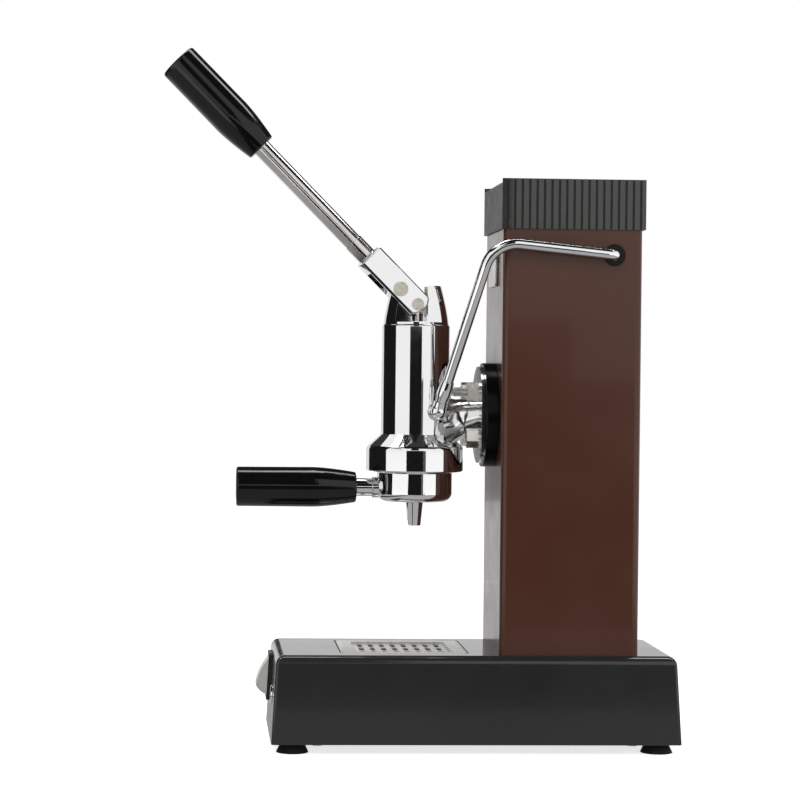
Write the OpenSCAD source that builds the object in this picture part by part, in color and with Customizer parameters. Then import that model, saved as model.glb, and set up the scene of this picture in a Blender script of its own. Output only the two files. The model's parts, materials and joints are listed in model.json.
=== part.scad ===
// Spring lever espresso machine: a square column on a drip-tray base, with a chrome lever group in front.
// Millimetres. +Z is up, the front faces -Y, and the origin is on the table below the middle of the base.

/* [Base] */
// Length of the base along Y, at its lower edge
base_len = 281; // [262:1:320]
// Width of the base along X, at its lower edge
base_w = 114; // [112:1:140]
// Height of the base without its feet
base_h = 60; // [54:1:80]
// How far each side leans in from bottom to top
base_draft = 3.2; // [1:0.1:4]
// Radius of the rounded top edge
base_fillet = 6; // [3:0.5:6]
// Radius of the upright corners inside the base
base_corner = 6.5; // [5.5:0.5:10]
// Wall thickness of the base
base_wall = 4; // [3.5:0.25:5]
// Thickness of the plate that closes the base below
plate_t = 2; // [1.5:0.25:3]
// Height of the rubber feet
foot_h = 7; // [5:0.5:12]
// Diameter of a foot where it meets the table
foot_d = 22.4; // [18:0.2:24]
// Diameter of a foot where it meets the base
foot_top_d = 15.7; // [13:0.1:17]
// Distance of a foot's centre from the edges of the base
foot_inset = 15; // [14.5:0.5:17]

/* [Drip tray] */
// Length of the grid along Y
tray_len = 89; // [70:1:92]
// Width of the grid along X
tray_w = 76; // [56:1:84]
// Front edge of the grid, from the middle of the base
tray_front = -93; // [-96:0.5:-84]
// Depth of the pan below its flange
pan_depth = 28; // [18:1:36]
// Sheet thickness of the pan and the grid
tray_sheet = 1; // [0.8:0.1:1.4]
// Columns of slots in the grid
grid_cols = 8; // [5:1:9]
// Rows of slots in the grid
grid_rows = 3; // [2:1:4]
// Width of one slot
slot_w = 3.5; // [2:0.25:4.5]

/* [Switch and lamp] */
// Width of the switch bezel
bezel_w = 25; // [22:0.5:28]
// Height of the switch bezel
bezel_h = 33; // [31:0.5:36]
// Thickness of the bezel's frame
bezel_t = 2.6; // [2:0.2:3.6]
// Sideways place of the switch
switch_x = -22; // [-26:1:-18]
// Distance of the switch's centre below the base's top
switch_drop = 23; // [22:0.5:25]
// Radius of the rocker's round back
rocker_r = 13.4; // [12:0.2:13.6]
// How far the rocker's lower half stands out of the bezel
rocker_out = 7.8; // [6:0.2:9]
// How far the rocker's face swells
rocker_swell = 1.6; // [0.5:0.1:2.5]
// Diameter of the pilot lamp's ring
lamp_d = 14; // [11:0.5:16]
// Sideways place of the lamp
lamp_x = 20; // [14:1:28]
// Height of the lamp's centre above the base's lower edge
lamp_z = 29; // [22:0.5:36]

/* [Column] */
// Side of the square column
column_w = 96; // [90:1:98]
// Height of the column above the base
column_h = 294; // [284:1:330]
// Front face of the column, from the middle of the base
column_front = 15.5; // [12:0.5:20]
// Sheet thickness of the column
column_wall = 1.5; // [1:0.1:2]
// Outer radius of the column's upright edges
column_corner = 5; // [3:0.5:7]
// Width of the bare badge plate
badge_w = 36; // [24:1:50]
// Height of the bare badge plate
badge_h = 27; // [16:1:32]
// Thickness of the badge plate
badge_t = 2; // [1:0.2:3]

/* [Top cap] */
// Height of the ribbed cap at its sides
cap_h = 34.3; // [30:0.1:42]
// How far the cap stands out past the column
cap_over = 1.5; // [1.3:0.1:2.5]
// How far the cap's skirt reaches down over the column
cap_skirt = 2; // [1:0.25:4]
// How much lower the front and rear rims are than the sides
cap_dip = 2.8; // [1:0.2:5]
// Depth of the tray in the cap below its sides
cap_tray = 10; // [6:0.5:12]
// Wall thickness of the cap above the column
cap_wall = 3; // [2.5:0.25:4]
// Distance from one rib to the next
rib_pitch = 5.1; // [4:0.1:7]
// Depth of the grooves between ribs
rib_depth = 0.8; // [0.4:0.1:0.9]

/* [Group] */
// Distance of the group's axis in front of the middle of the base
group_fwd = 39.5; // [38:0.5:42]
// Height of the bell's lower edge above the base
bell_rise = 123.6; // [110:0.2:128]
// Outer diameter of the bell
bell_d = 68; // [67:0.25:68.5]
// Height of the bell's upright wall
bell_h = 16.9; // [16:0.1:20]
// Height of the slope between bell and barrel
shoulder_h = 9.2; // [7:0.1:12]
// Outer diameter of the barrel
barrel_d = 47.7; // [46.5:0.1:50]
// Height of the barrel above the slope
barrel_h = 76.8; // [74:0.2:84]
// Bore of the barrel
barrel_bore = 40; // [38:0.2:41]
// Height of the barrel's cap
gcap_h = 27; // [26:0.2:28]
// Diameter of the barrel's cap at its foot
gcap_d = 45.8; // [44:0.2:46.4]
// Diameter of the barrel's cap at its top
gcap_top_d = 34.8; // [34:0.2:37]
// Height of the neck's axis above the bell's lower edge
neck_rise = 39.9; // [38:0.1:42]
// Diameter of the neck beside the nuts
neck_d = 27; // [24:0.5:28]
// Diameter of the group's rear flange
flange_d = 68; // [64:0.5:72]
// Width of that flange between its two flats
flange_w = 50; // [47:0.5:60]
// Thickness of the group's rear flange
flange_t = 2.75; // [2.25:0.25:5]
// Diameter of the insulating disc
disc_d = 73; // [68:0.5:78]
// Thickness of the insulating disc
disc_t = 8.5; // [6:0.25:9]
// Distance between neighbouring studs
stud_gap = 32; // [31.5:0.25:34]
// Diameter of the studs
stud_d = 6; // [5:0.25:6.5]

/* [Lever] */
// Angle of the lever above the horizontal at rest
lever_rise = 45.2; // [42:0.2:50]
// Distance from the fulcrum to the lever's outer end
lever_len = 222; // [190:0.5:240]
// Diameter of the lever's tube
lever_d = 12.6; // [11:0.1:13]
// Distance of the fulcrum in front of the group's axis
fulcrum_fwd = 12.9; // [12.5:0.1:13.1]
// Height of the fulcrum above the barrel
fulcrum_rise = 24.2; // [24:0.1:25]
// Distance from the fulcrum to the piston rod's pin
arm = 16; // [15:0.1:16.2]
// Angle of that arm below the horizontal at rest
arm_drop = 41; // [39:0.5:43]
// Diameter of the fulcrum pin
fulcrum_d = 8; // [7:0.1:8.2]
// Diameter of the piston rod's pin
rod_pin_d = 6.4; // [5.5:0.1:6.6]
// Clear width between the fork's cheeks
fork_gap = 32.8; // [32.6:0.1:34]
// Thickness of one cheek of the fork
cheek_t = 4; // [3:0.25:5]
// Width of a cheek
cheek_w = 17.4; // [16.8:0.2:18]
// Length of the fork from the fulcrum towards the grip
fork_len = 32.1; // [31:0.1:36]
// Length of the ferrule in front of the fork
ferrule_len = 14; // [8:0.5:20]

/* [Grips] */
// Length of a grip
grip_len = 84; // [75:0.5:95]
// Largest diameter of a grip
grip_d = 28; // [25:0.2:30]
// Diameter of a grip at its narrow end
grip_neck_d = 21.6; // [18:0.2:22]
// Length of a grip's straight part
grip_straight = 54; // [40:0.5:60]

/* [Portafilter] */
// Outer diameter of the cup below the bell
cup_d = 53; // [52:0.2:54.4]
// How far the cup hangs below the bell
cup_drop = 21.1; // [19.5:0.1:25]
// Diameter of the handle's stem
stem_d = 12.6; // [11:0.1:13]
// Distance from the group's axis to the grip's near end
stem_reach = 41.3; // [38:0.1:50]
// Height of the handle's axis above the cup's underside
stem_rise = 9.5; // [8.5:0.1:10.5]
// Outer diameter of the filter basket
basket_d = 46.2; // [44:0.2:46.6]
// Length of the spout below the cup
spout_len = 17; // [12:0.5:22]

/* [Pipe] */
// Diameter of the transfer pipe
pipe_d = 7.5; // [7:0.25:8]
// Height of the grommet's centre below the column's top
pipe_drop = 19.4; // [16:0.2:24]
// Distance of the grommet's centre from the column's rear face
pipe_inset = 19.7; // [18:0.1:26]
// How far the pipe's run stands off the column's side
pipe_off = 7.5; // [7.5:0.25:9]
// How much the run climbs on its way to the front
pipe_climb = 8.4; // [4:0.2:9]
// Front corner of the run, ahead of the column's front face
pipe_ahead = 8; // [4:0.5:12]
// Diameter of the grommet's lip
grommet_d = 15.5; // [14:0.25:18]

/* [Boiler] */
// Outer diameter of the boiler
boiler_d = 76; // [68:0.5:78]
// Height of the boiler
boiler_h = 222; // [200:1:226]
// Height of the boiler's underside above the base
boiler_rise = 36; // [34:0.5:42]
// Wall thickness of the boiler
boiler_wall = 1.5; // [1:0.1:3]

/* [Hidden] */
$fn = 64;

// Clearances: running fits, screwed and pushed fits, lift-out parts, and soft or turning parts
run_clear = 0.08;
push_clear = 0.05;
lift_clear = 0.3;
turn_clear = 0.4;
eps = 0.01;

// Colours
black_paint = [0.03, 0.03, 0.033];
black_plastic = [0.06, 0.06, 0.062];
brown_paint = [0.2, 0.09, 0.07];
chrome = [0.8, 0.81, 0.82];
steel = [0.66, 0.67, 0.68];
brass = [0.78, 0.6, 0.3];
copper = [0.72, 0.42, 0.28];
rubber = [0.05, 0.05, 0.05];
smoke = [0.62, 0.63, 0.6];
amber = [0.45, 0.16, 0.06];

// Heights and places worked out from the sizes above
base_top = foot_h + base_h;
draft_angle = atan(base_draft / base_h);
switch_z = base_h - switch_drop;
foot_x = base_w / 2 - foot_inset;
foot_y = base_len / 2 - foot_inset;
boss_d = 9;
boss_x = base_w / 2 - base_wall - base_draft - boss_d / 2 - 3;
boss_y = foot_y - foot_d / 2 - boss_d / 2 - 1.5;
screw_d = 4;
head_d = 7.5;
head_t = 2.4;

column_y = column_front + column_w / 2;
column_in = column_w - 2 * column_wall;
column_top = base_top + column_h;
lip_w = 14;
lip_screw_x = column_in / 2 - 18;
lip_screw_in = column_in / 2 - lip_w / 2;
wire_hole_d = 44;

tray_y = tray_front + tray_len / 2;
tray_ledge = 5;
tray_gap = 0.9;
tray_corner = 4;
seat_depth = 2 * tray_sheet;

cap_w = column_w + 2 * cap_over;
cap_z = column_top - cap_skirt;
cap_top = cap_z + cap_h;
cap_floor_t = 3;

group_y = -group_fwd;
bell_z = base_top + bell_rise;
bell_top = bell_z + bell_h;
barrel_z = bell_top + shoulder_h;
barrel_top = barrel_z + barrel_h;
neck_z = bell_z + neck_rise;
disc_y = column_front - disc_t;
flange_y = disc_y - flange_t;
nut_af = 12;
nut_t = 9.6;
nut_turn = 15;
upper_stud_out = 9;
lower_stud_out = 0.6;
neck_tilt = 12;
stud_in = 12;

// Bayonet inside the bell
cup_rim_d = cup_d + 1.4;
ledge_t = 2.6;
ledge_d = cup_rim_d + 2 * turn_clear;
lug_t = 5;
lug_half = 18;
lug_d = bell_d - 6;
channel_d = lug_d + 2 * turn_clear;
channel_top = bell_z + ledge_t + lug_t + 2 * turn_clear;
unlock_turn = 45;
cup_z = bell_z - cup_drop;
cup_top = channel_top + 1.8;
rim_t = 1.2;
gasket_z = cup_top + rim_t + lift_clear;
gasket_t = 4.3;
screen_t = 0.8;
seat_z = gasket_z + gasket_t + screen_t;
bore_z = seat_z;

// Piston, rod and spring
piston_z = bore_z + 1.2;
piston_t = 14;
spigot_len = 8;
gcap_floor = 2;
rod_d = 10;
wire_d = 4;
spring_d = 30;
spring_turns = 7;

// Lever linkage
fulcrum_y = group_y - fulcrum_fwd;
fulcrum_z = barrel_top + fulcrum_rise;
pin_y = fulcrum_y + arm * cos(arm_drop);
pin_z = fulcrum_z - arm * sin(arm_drop);
pin_back_y = fulcrum_y + arm;
flat_w = fork_gap - 2 * turn_clear;
arm_tilt = arm_drop + 90 - lever_rise;
pin_v = arm * cos(arm_tilt);
pin_u = -arm * sin(arm_tilt);
cheek_back = 10.1;
cheek_v = cheek_back - cheek_w / 2;
tube_v = 0.5;
eye_slack = 0.55;
eye_wall = 2.5;
well_d = 26;
fulcrum_head_d = fulcrum_d + 2.2;
rod_pin_head_d = rod_pin_d + 2;

// Transfer pipe, from the top of the boiler to the boss on the barrel
pipe_y = column_front + column_w - pipe_inset;
pipe_z = column_top - pipe_drop;
pipe_x = column_w / 2 + pipe_off;
boiler_z = base_top + boiler_rise;
boiler_top = boiler_z + boiler_h;
stub_x = 14;
boss_tip = [barrel_d / 2 + 1.2, group_y + 15.6, neck_z + 9];
pipe_boss_d = 10;
pipe_nut_d = 10.4;
nut_len = 15.6;
pipe_corner = [pipe_x, column_front - pipe_ahead, pipe_z + pipe_climb];
pipe_dir = (pipe_corner - boss_tip) / norm(pipe_corner - boss_tip);
pipe_end = boss_tip + pipe_dir * nut_len * 0.6;
boss_root = boss_tip - pipe_dir * 7;
pipe_route = [
    [stub_x, pipe_y, boiler_top - boiler_wall],
    [stub_x, pipe_y, pipe_z],
    [pipe_x, pipe_y, pipe_z],
    pipe_corner,
    pipe_end
];
pipe_bends = [0, 9, 6, 22, 0];

function unit(v) = v / norm(v);
function side_of(v) = unit(cross(abs(v.z) < 0.9 ? [0, 0, 1] : [1, 0, 0], v));
function turn_at(pts, i) = acos(unit(pts[i] - pts[i - 1]) * unit(pts[i + 1] - pts[i]));
function trim_at(pts, radii, i) =
    i == 0 || i == len(pts) - 1 ? 0 : radii[i] * tan(turn_at(pts, i) / 2);

// Places children with their x and z axes along two given directions
module oriented(origin, x, z) {
    y = cross(z, x);
    multmatrix([
        [x.x, y.x, z.x, origin.x],
        [x.y, y.y, z.y, origin.y],
        [x.z, y.z, z.z, origin.z]
    ])
        children();
}

// Round bar from one point to another
module bar(p, q, d) {
    z = unit(q - p);
    oriented(p, side_of(z), z)
        cylinder(d = d, h = norm(q - p));
}

// Quarter-type bend between two straight runs
module bend(p, corner, q, radius, d) {
    a = unit(corner - p);
    b = unit(q - corner);
    n = unit(cross(a, b));
    angle = acos(a * b);
    inward = cross(n, a);
    start = corner - a * radius * tan(angle / 2);
    oriented(start + inward * radius, -inward, n)
        rotate_extrude(angle = angle)
            translate([radius, 0])
                circle(d = d);
}

// Bent pipe along a list of corners; each bend is a hair thinner and starts inside its straight runs
bend_less = 0.04;
bend_lap = 0.05;
module pipe_run(pts, radii, d) {
    last = len(pts) - 1;
    for (i = [0 : last - 1]) {
        dir = unit(pts[i + 1] - pts[i]);
        from = trim_at(pts, radii, i) - (i > 0 ? bend_lap : 0);
        to = trim_at(pts, radii, i + 1) - (i < last - 1 ? bend_lap : 0);
        bar(pts[i] + dir * from, pts[i + 1] - dir * to, d);
    }
    for (i = [1 : last - 1])
        bend(pts[i - 1], pts[i], pts[i + 1], radii[i], d - bend_less);
}

// Extrudes an outline drawn in Y and Z along X, centred
module across_x(w) {
    translate([-w / 2, 0, 0])
        rotate([90, 0, 90])
            linear_extrude(w)
                children();
}

// Turns children so that their z axis points along +Y
module along_y() {
    rotate([-90, 0, 0])
        children();
}

// Rectangle with round corners, centred
module round_rect(x, y, r) {
    square([x - 2 * r, y], center = true);
    square([x, y - 2 * r], center = true);
    for (sx = [-1, 1], sy = [-1, 1])
        translate([sx * (x / 2 - r), sy * (y / 2 - r)])
            circle(r);
}

// Plate with round corners, centred in X and Y, standing on z = 0
module round_plate(x, y, r, t) {
    linear_extrude(t)
        round_rect(x, y, r);
}

// Half outline of a leaning wall with a rounded top edge
function wall_outline(r, h, draft, fillet, steps = 8) =
    let (slope = sqrt(h * h + draft * draft) / h)
    let (cx = r - fillet * slope - (h - fillet) * draft / h)
    let (first = atan(draft / h))
    concat(
        [[0, 0], [r, 0]],
        [for (i = [0 : steps])
            let (a = first + (90 - first) * i / steps)
            [cx + fillet * cos(a), h - fillet + fillet * sin(a)]],
        [[0, h]]
    );

// Block with leaning sides, round upright corners and a rounded top edge
module drafted_block(x, y, h, r, draft, fillet) {
    outline = wall_outline(r, h, draft, fillet);
    cx = x / 2 - r;
    cy = y / 2 - r;
    translate([-cx, -cy, 0])
        cube([2 * cx, 2 * cy, h]);
    for (q = [0 : 3]) {
        along = q % 2 == 0 ? cy : cx;
        out = q % 2 == 0 ? cx : cy;
        rotate(90 * q)
            translate([out, along, 0])
                rotate([90, 0, 0])
                    linear_extrude(2 * along)
                        polygon(outline);
        rotate(90 * q)
            translate([out, along, 0])
                rotate_extrude(angle = 90)
                    polygon(outline);
    }
}

function ridge(half) =
    let (side = [for (p = half) if (p.x > 0) p])
    concat(side, [for (i = [len(side) - 1 : -1 : 0]) [-side[i].x, side[i].y]]);

// Block with leaning sides that meet at sharp upright corners, and a rounded top edge
module mitred_block(x, y, h, draft, fillet) {
    below = 1;
    lean = draft / h;
    tall = h + below;
    intersection() {
        rotate([90, 0, 0])
            linear_extrude(y + 2, center = true)
                polygon(ridge(wall_outline(x / 2, h, draft, fillet)));
        translate([0, 0, -below])
            rotate([90, 0, 90])
                linear_extrude(x + 2, center = true)
                    polygon(ridge(wall_outline(y / 2 + lean * below, tall, lean * tall, fillet)));
    }
}

// Places children on the leaning front wall, with z pointing out of it
module on_front(x, z) {
    translate([x, -base_len / 2 + base_draft * z / base_h, foot_h + z])
        rotate([90 - draft_angle, 0, 0])
            children();
}

// Repeats children at the four corners of a rectangle
module at_corners(x, y) {
    for (sx = [-1, 1], sy = [-1, 1])
        translate([sx * x, sy * y, 0])
            children();
}

module ring(od, id, h) {
    difference() {
        cylinder(d = od, h = h);
        translate([0, 0, -eps])
            cylinder(d = id, h = h + 2 * eps);
    }
}

module hex_prism(af, h) {
    cylinder(d = af / cos(30), h = h, $fn = 6);
}

// Base

housing_w = bezel_w - 3;
housing_h = bezel_h - 3;
housing_depth = 20;
lamp_barrel_d = lamp_d - 4;
gland_x = -25;
gland_z = 24;
gland_d = 14;
gland_hole_d = 8;
tongue_in = 0.4;

module base_shell() {
    color(black_paint)
        difference() {
            union() {
                difference() {
                    translate([0, 0, foot_h])
                        mitred_block(base_w, base_len, base_h, base_draft, base_fillet);
                    translate([0, 0, foot_h - eps])
                        drafted_block(base_w - 2 * base_wall, base_len - 2 * base_wall,
                            base_h - base_wall + 2 * eps, base_corner, base_draft, 1);
                }
                translate([0, 0, foot_h + plate_t])
                    at_corners(boss_x, boss_y)
                        cylinder(d = boss_d, h = base_h - plate_t - base_wall / 2);
            }
            translate([0, tray_y, base_top - seat_depth])
                round_plate(tray_w, tray_len, tray_corner, seat_depth + eps);
            translate([0, tray_y, base_top - base_wall - eps])
                round_plate(tray_w - 2 * tray_ledge, tray_len - 2 * tray_ledge, tray_corner, base_wall);
            translate([0, column_y, base_top - base_wall - eps])
                cylinder(d = wire_hole_d, h = base_wall + 2 * eps);
            translate([0, column_y, base_top - base_wall - eps])
                at_corners(lip_screw_x, lip_screw_in)
                    cylinder(d = screw_d + 2 * push_clear, h = base_wall + 2 * eps);
            translate([0, 0, foot_h])
                at_corners(boss_x, boss_y)
                    cylinder(d = screw_d + 2 * push_clear, h = plate_t + 3.5 * screw_d);
            on_front(switch_x, switch_z)
                translate([0, 0, -2 * base_wall])
                    linear_extrude(3 * base_wall)
                        square([housing_w + 2 * push_clear, housing_h + 2 * push_clear], center = true);
            on_front(lamp_x, lamp_z)
                translate([0, 0, -2 * base_wall])
                    cylinder(d = lamp_barrel_d + 2 * push_clear, h = 3 * base_wall);
            translate([gland_x - gland_d / 2 - push_clear, base_len / 2 - 3 * base_wall, foot_h - 1])
                cube([gland_d + 2 * push_clear, 4 * base_wall, gland_z + gland_d / 2 + push_clear + 1]);
        }
}

foot_neck_d = 8;
foot_bead_d = 11;

plate_in = base_wall + lift_clear;
plate_corner = base_corner;

module bottom_plate() {
    color(black_plastic)
        difference() {
            translate([0, 0, foot_h])
                round_plate(base_w - 2 * plate_in, base_len - 2 * plate_in, plate_corner, plate_t);
            translate([0, 0, foot_h - eps])
                at_corners(foot_x, foot_y)
                    cylinder(d = foot_neck_d + 2 * push_clear, h = plate_t + 2 * eps);
            translate([0, 0, foot_h - eps])
                at_corners(boss_x, boss_y)
                    cylinder(d = screw_d + 2 * push_clear, h = plate_t + 2 * eps);
        }
}

module pan_screw(d, len) {
    cylinder(d = d, h = len);
    translate([0, 0, -head_t])
        cylinder(d = head_d, h = head_t);
}

module bottom_screws() {
    color(steel)
        translate([0, 0, foot_h])
            at_corners(boss_x, boss_y)
                pan_screw(screw_d, plate_t + 3 * screw_d);
}

module foot(sx, sy) {
    color(rubber)
        translate([sx * foot_x, sy * foot_y, 0]) {
            cylinder(d1 = foot_d, d2 = foot_top_d, h = foot_h);
            cylinder(d = foot_neck_d, h = foot_h + plate_t + 1);
            translate([0, 0, foot_h + plate_t])
                cylinder(d1 = foot_bead_d, d2 = foot_neck_d, h = 3);
        }
}

module foot_front_left() {
    foot(-1, -1);
}

module foot_front_right() {
    foot(1, -1);
}

module foot_rear_left() {
    foot(-1, 1);
}

module foot_rear_right() {
    foot(1, 1);
}

pan_w = tray_w - 2 * tray_ledge - 2 * lift_clear;
pan_len = tray_len - 2 * tray_ledge - 2 * lift_clear;

module drip_pan() {
    color(steel)
        translate([0, tray_y, base_top - seat_depth])
            difference() {
                union() {
                    round_plate(tray_w - 2 * tray_gap, tray_len - 2 * tray_gap, tray_corner, tray_sheet);
                    translate([0, 0, -pan_depth])
                        round_plate(pan_w, pan_len, tray_corner, pan_depth + eps);
                }
                translate([0, 0, tray_sheet - pan_depth])
                    round_plate(pan_w - 2 * tray_sheet, pan_len - 2 * tray_sheet, tray_corner - tray_sheet,
                        pan_depth + 2 * eps);
            }
}

dish_len = pan_len - 10;
dish_w = pan_w - 6;
dish_depth = 1.6;
row_gap = 3.2;
col_pitch = (dish_len - 6) / grid_cols;
slot_len = (dish_w - 5 - (grid_rows - 1) * row_gap) / grid_rows;

module drip_grid() {
    color(steel)
        translate([0, tray_y, base_top - tray_sheet])
            difference() {
                union() {
                    round_plate(tray_w - 2 * tray_gap, tray_len - 2 * tray_gap, tray_corner, tray_sheet);
                    translate([0, 0, -dish_depth])
                        round_plate(dish_w, dish_len, tray_corner, dish_depth + eps);
                }
                translate([0, 0, tray_sheet - dish_depth])
                    round_plate(dish_w - 2 * tray_sheet, dish_len - 2 * tray_sheet, tray_corner - tray_sheet,
                        dish_depth + eps);
                for (c = [0 : grid_cols - 1], r = [0 : grid_rows - 1])
                    translate([
                        (r - (grid_rows - 1) / 2) * (slot_len + row_gap),
                        (c - (grid_cols - 1) / 2) * col_pitch,
                        -dish_depth - eps
                    ])
                        round_plate(slot_len, slot_w, slot_w / 2 - eps, tray_sheet + 2 * eps);
            }
}

// Switch, lamp and wiring

pivot_z = -1;
pivot_d = 3;
rocker_w = housing_w - 4;

module switch_housing() {
    color(black_plastic)
        on_front(switch_x, switch_z)
            difference() {
                union() {
                    round_plate(bezel_w, bezel_h, 2, bezel_t);
                    translate([0, 0, -housing_depth])
                        linear_extrude(housing_depth + eps)
                            square([housing_w, housing_h], center = true);
                }
                translate([0, 0, pivot_z])
                    rotate([0, 90, 0])
                        cylinder(r = rocker_r + turn_clear, h = rocker_w + 2 * turn_clear, center = true);
                translate([0, 0, pivot_z])
                    rotate([0, 90, 0])
                        cylinder(d = pivot_d + 2 * run_clear, h = housing_w - 1, center = true);
            }
}

module rocker() {
    tip_z = bezel_t + rocker_out - pivot_z;
    tip_y = -sqrt(rocker_r * rocker_r - tip_z * tip_z);
    edge_z = bezel_t - pivot_z;
    edge_y = sqrt(rocker_r * rocker_r - edge_z * edge_z);
    tip = [tip_y, tip_z];
    edge = [edge_y, edge_z];
    out = [edge_z - tip_z, tip_y - edge_y] / norm(tip - edge);
    color(smoke)
        on_front(switch_x, switch_z)
            translate([0, 0, pivot_z]) {
                across_x(rocker_w)
                    intersection() {
                        circle(rocker_r);
                        polygon(concat(
                            [for (i = [0 : 8])
                                let (t = i / 8)
                                edge + (tip - edge) * t - out * rocker_swell * 4 * t * (1 - t)],
                            [[-rocker_r, tip_z], [-rocker_r, -4], [rocker_r, -6]]
                        ));
                    }
                rotate([0, 90, 0])
                    cylinder(d = pivot_d, h = housing_w - 2, center = true);
            }
}

module lamp_ring() {
    color(chrome)
        on_front(lamp_x, lamp_z)
            difference() {
                union() {
                    cylinder(d1 = lamp_d, d2 = lamp_d - 2, h = 1.4);
                    translate([0, 0, -14])
                        cylinder(d = lamp_barrel_d, h = 14 + eps);
                }
                translate([0, 0, -10])
                    cylinder(d = lamp_d - 6, h = 14);
            }
}

module lamp_lens() {
    color(amber)
        on_front(lamp_x, lamp_z)
            translate([0, 0, -9.8])
                cylinder(d = lamp_d - 6 - 2 * push_clear, h = 11);
}

// Slides into a notch of the rear wall from below, with a tongue that closes the notch
module cord_gland() {
    color(black_plastic)
        translate([gland_x, base_len / 2 - base_wall - base_draft, foot_h + gland_z])
            along_y()
                difference() {
                    union() {
                        translate([0, 0, -6])
                            cylinder(d = gland_d - 1, h = base_wall + base_draft + 8);
                        translate([-gland_d / 2, -gland_d / 2, base_draft + tongue_in])
                            cube([gland_d, gland_z + gland_d / 2, base_wall / 2]);
                        translate([0, 0, base_wall + base_draft + eps])
                            cylinder(d = 1.5 * gland_d, h = 2);
                    }
                    translate([0, 0, -6 - eps])
                        cylinder(d = gland_hole_d, h = base_wall + base_draft + 16);
                }
}

floor_z = foot_h + plate_t;
switch_box = [34, 30, 26];
sense_x = -12;
sense_y = column_y + 8;
sense_d = 5;

module terminal_block() {
    color(smoke)
        translate([sense_x + switch_box.x / 2 + 4, boss_y - 28, floor_z])
            difference() {
                cube([34, 16, 14]);
                for (i = [0 : 3])
                    translate([6 + 8 * i, 8, 6])
                        cylinder(d = 4, h = 14);
            }
}

module pressure_switch() {
    color(steel) {
        translate([sense_x - switch_box.x / 2, sense_y - switch_box.y / 2, floor_z])
            cube(switch_box);
        translate([sense_x, sense_y, floor_z + switch_box.z - eps])
            cylinder(d = 20, h = 6);
    }
}

module sense_pipe() {
    color(copper)
        translate([sense_x, sense_y, floor_z + switch_box.z + 6])
            cylinder(d = sense_d, h = boiler_z - floor_z - switch_box.z - 6);
}

// Column and top cap

module column_outline(grow) {
    round_rect(column_w + 2 * grow, column_w + 2 * grow, column_corner + grow);
}

module column_shell() {
    color(brown_paint)
        translate([0, column_y, base_top])
            difference() {
                linear_extrude(column_h)
                    column_outline(0);
                translate([0, 0, column_wall])
                    linear_extrude(column_h)
                        column_outline(-column_wall);
                translate([0, 0, -eps])
                    linear_extrude(column_h)
                        square([column_in - 2 * column_corner, column_in - 2 * lip_w], center = true);
                translate([0, 0, -eps])
                    at_corners(lip_screw_x, lip_screw_in)
                        cylinder(d = screw_d + 2 * push_clear, h = column_wall + 2 * eps);
                translate([0, -column_w / 2 - eps, neck_z - base_top])
                    along_y()
                        at_corners(stud_gap / 2, stud_gap / 2)
                            cylinder(d = stud_d + 2 * push_clear, h = 2 * column_wall);
                translate([column_in / 2 - column_wall, pipe_y - column_y, pipe_z - base_top])
                    rotate([0, 90, 0])
                        cylinder(d = grommet_d - 4 + 2 * push_clear, h = 4 * column_wall);
            }
}

module column_screws() {
    color(steel)
        translate([0, column_y, base_top - base_wall])
            at_corners(lip_screw_x, lip_screw_in)
                pan_screw(screw_d, base_wall + column_wall + screw_d);
}

badge_drop = 13.5;

module badge_plate() {
    color(steel)
        translate([0, column_front, column_top - badge_h / 2 - badge_drop])
            rotate([90, 0, 0])
                round_plate(badge_w, badge_h, 3, badge_t);
}

// One ribbed side of the cap's outline, from corner to corner
function ribbed_side(w) =
    let (count = floor((w - 0.4 * rib_pitch) / rib_pitch))
    let (start = -count * rib_pitch / 2)
    concat(
        [[-w / 2, -w / 2]],
        [for (i = [0 : count - 1])
            let (x = start + (i + 0.5) * rib_pitch)
            for (p = [[-0.16, 0], [-0.1, rib_depth], [0.1, rib_depth], [0.16, 0]])
                [x + p.x * rib_pitch, -w / 2 + p.y]]
    );

function turned(pts, q) =
    let (c = cos(90 * q), s = sin(90 * q))
    [for (p = pts) [p.x * c - p.y * s, p.x * s + p.y * c]];

module top_cap() {
    side = ribbed_side(cap_w);
    bead = 1.2;
    color(black_plastic)
        translate([0, column_y, 0])
            difference() {
                translate([0, 0, cap_z])
                    linear_extrude(cap_h)
                        polygon([for (q = [0 : 3]) each turned(side, q)]);
                translate([0, 0, cap_z - eps])
                    linear_extrude(cap_skirt + eps)
                        column_outline(lift_clear / 2);
                translate([0, 0, cap_z - eps])
                    linear_extrude(cap_h - cap_tray - cap_floor_t)
                        square(cap_w - 2 * cap_wall - 2 * rib_depth, center = true);
                translate([0, 0, cap_top - cap_tray])
                    linear_extrude(cap_tray + eps)
                        square(cap_w - 2 * cap_wall, center = true);
                for (s = [-1, 1])
                    translate([0, s * cap_w / 2, cap_top - cap_dip / 2 + eps])
                        cube([cap_w - 2 * bead, 2 * cap_wall + 2 * eps, cap_dip + eps], center = true);
            }
}

// Boiler and its fittings

block_w = stud_gap + 20;
opening_d = 48;
neck_id = 22;
neck_od = 28;
filler_neck_h = 22;
element_d = 7;
element_gap = 22;
element_h = 120;
flange_plate_d = opening_d + 20;
flange_plate_t = 4;
bolt_ring_r = opening_d / 2 + 5;

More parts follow.
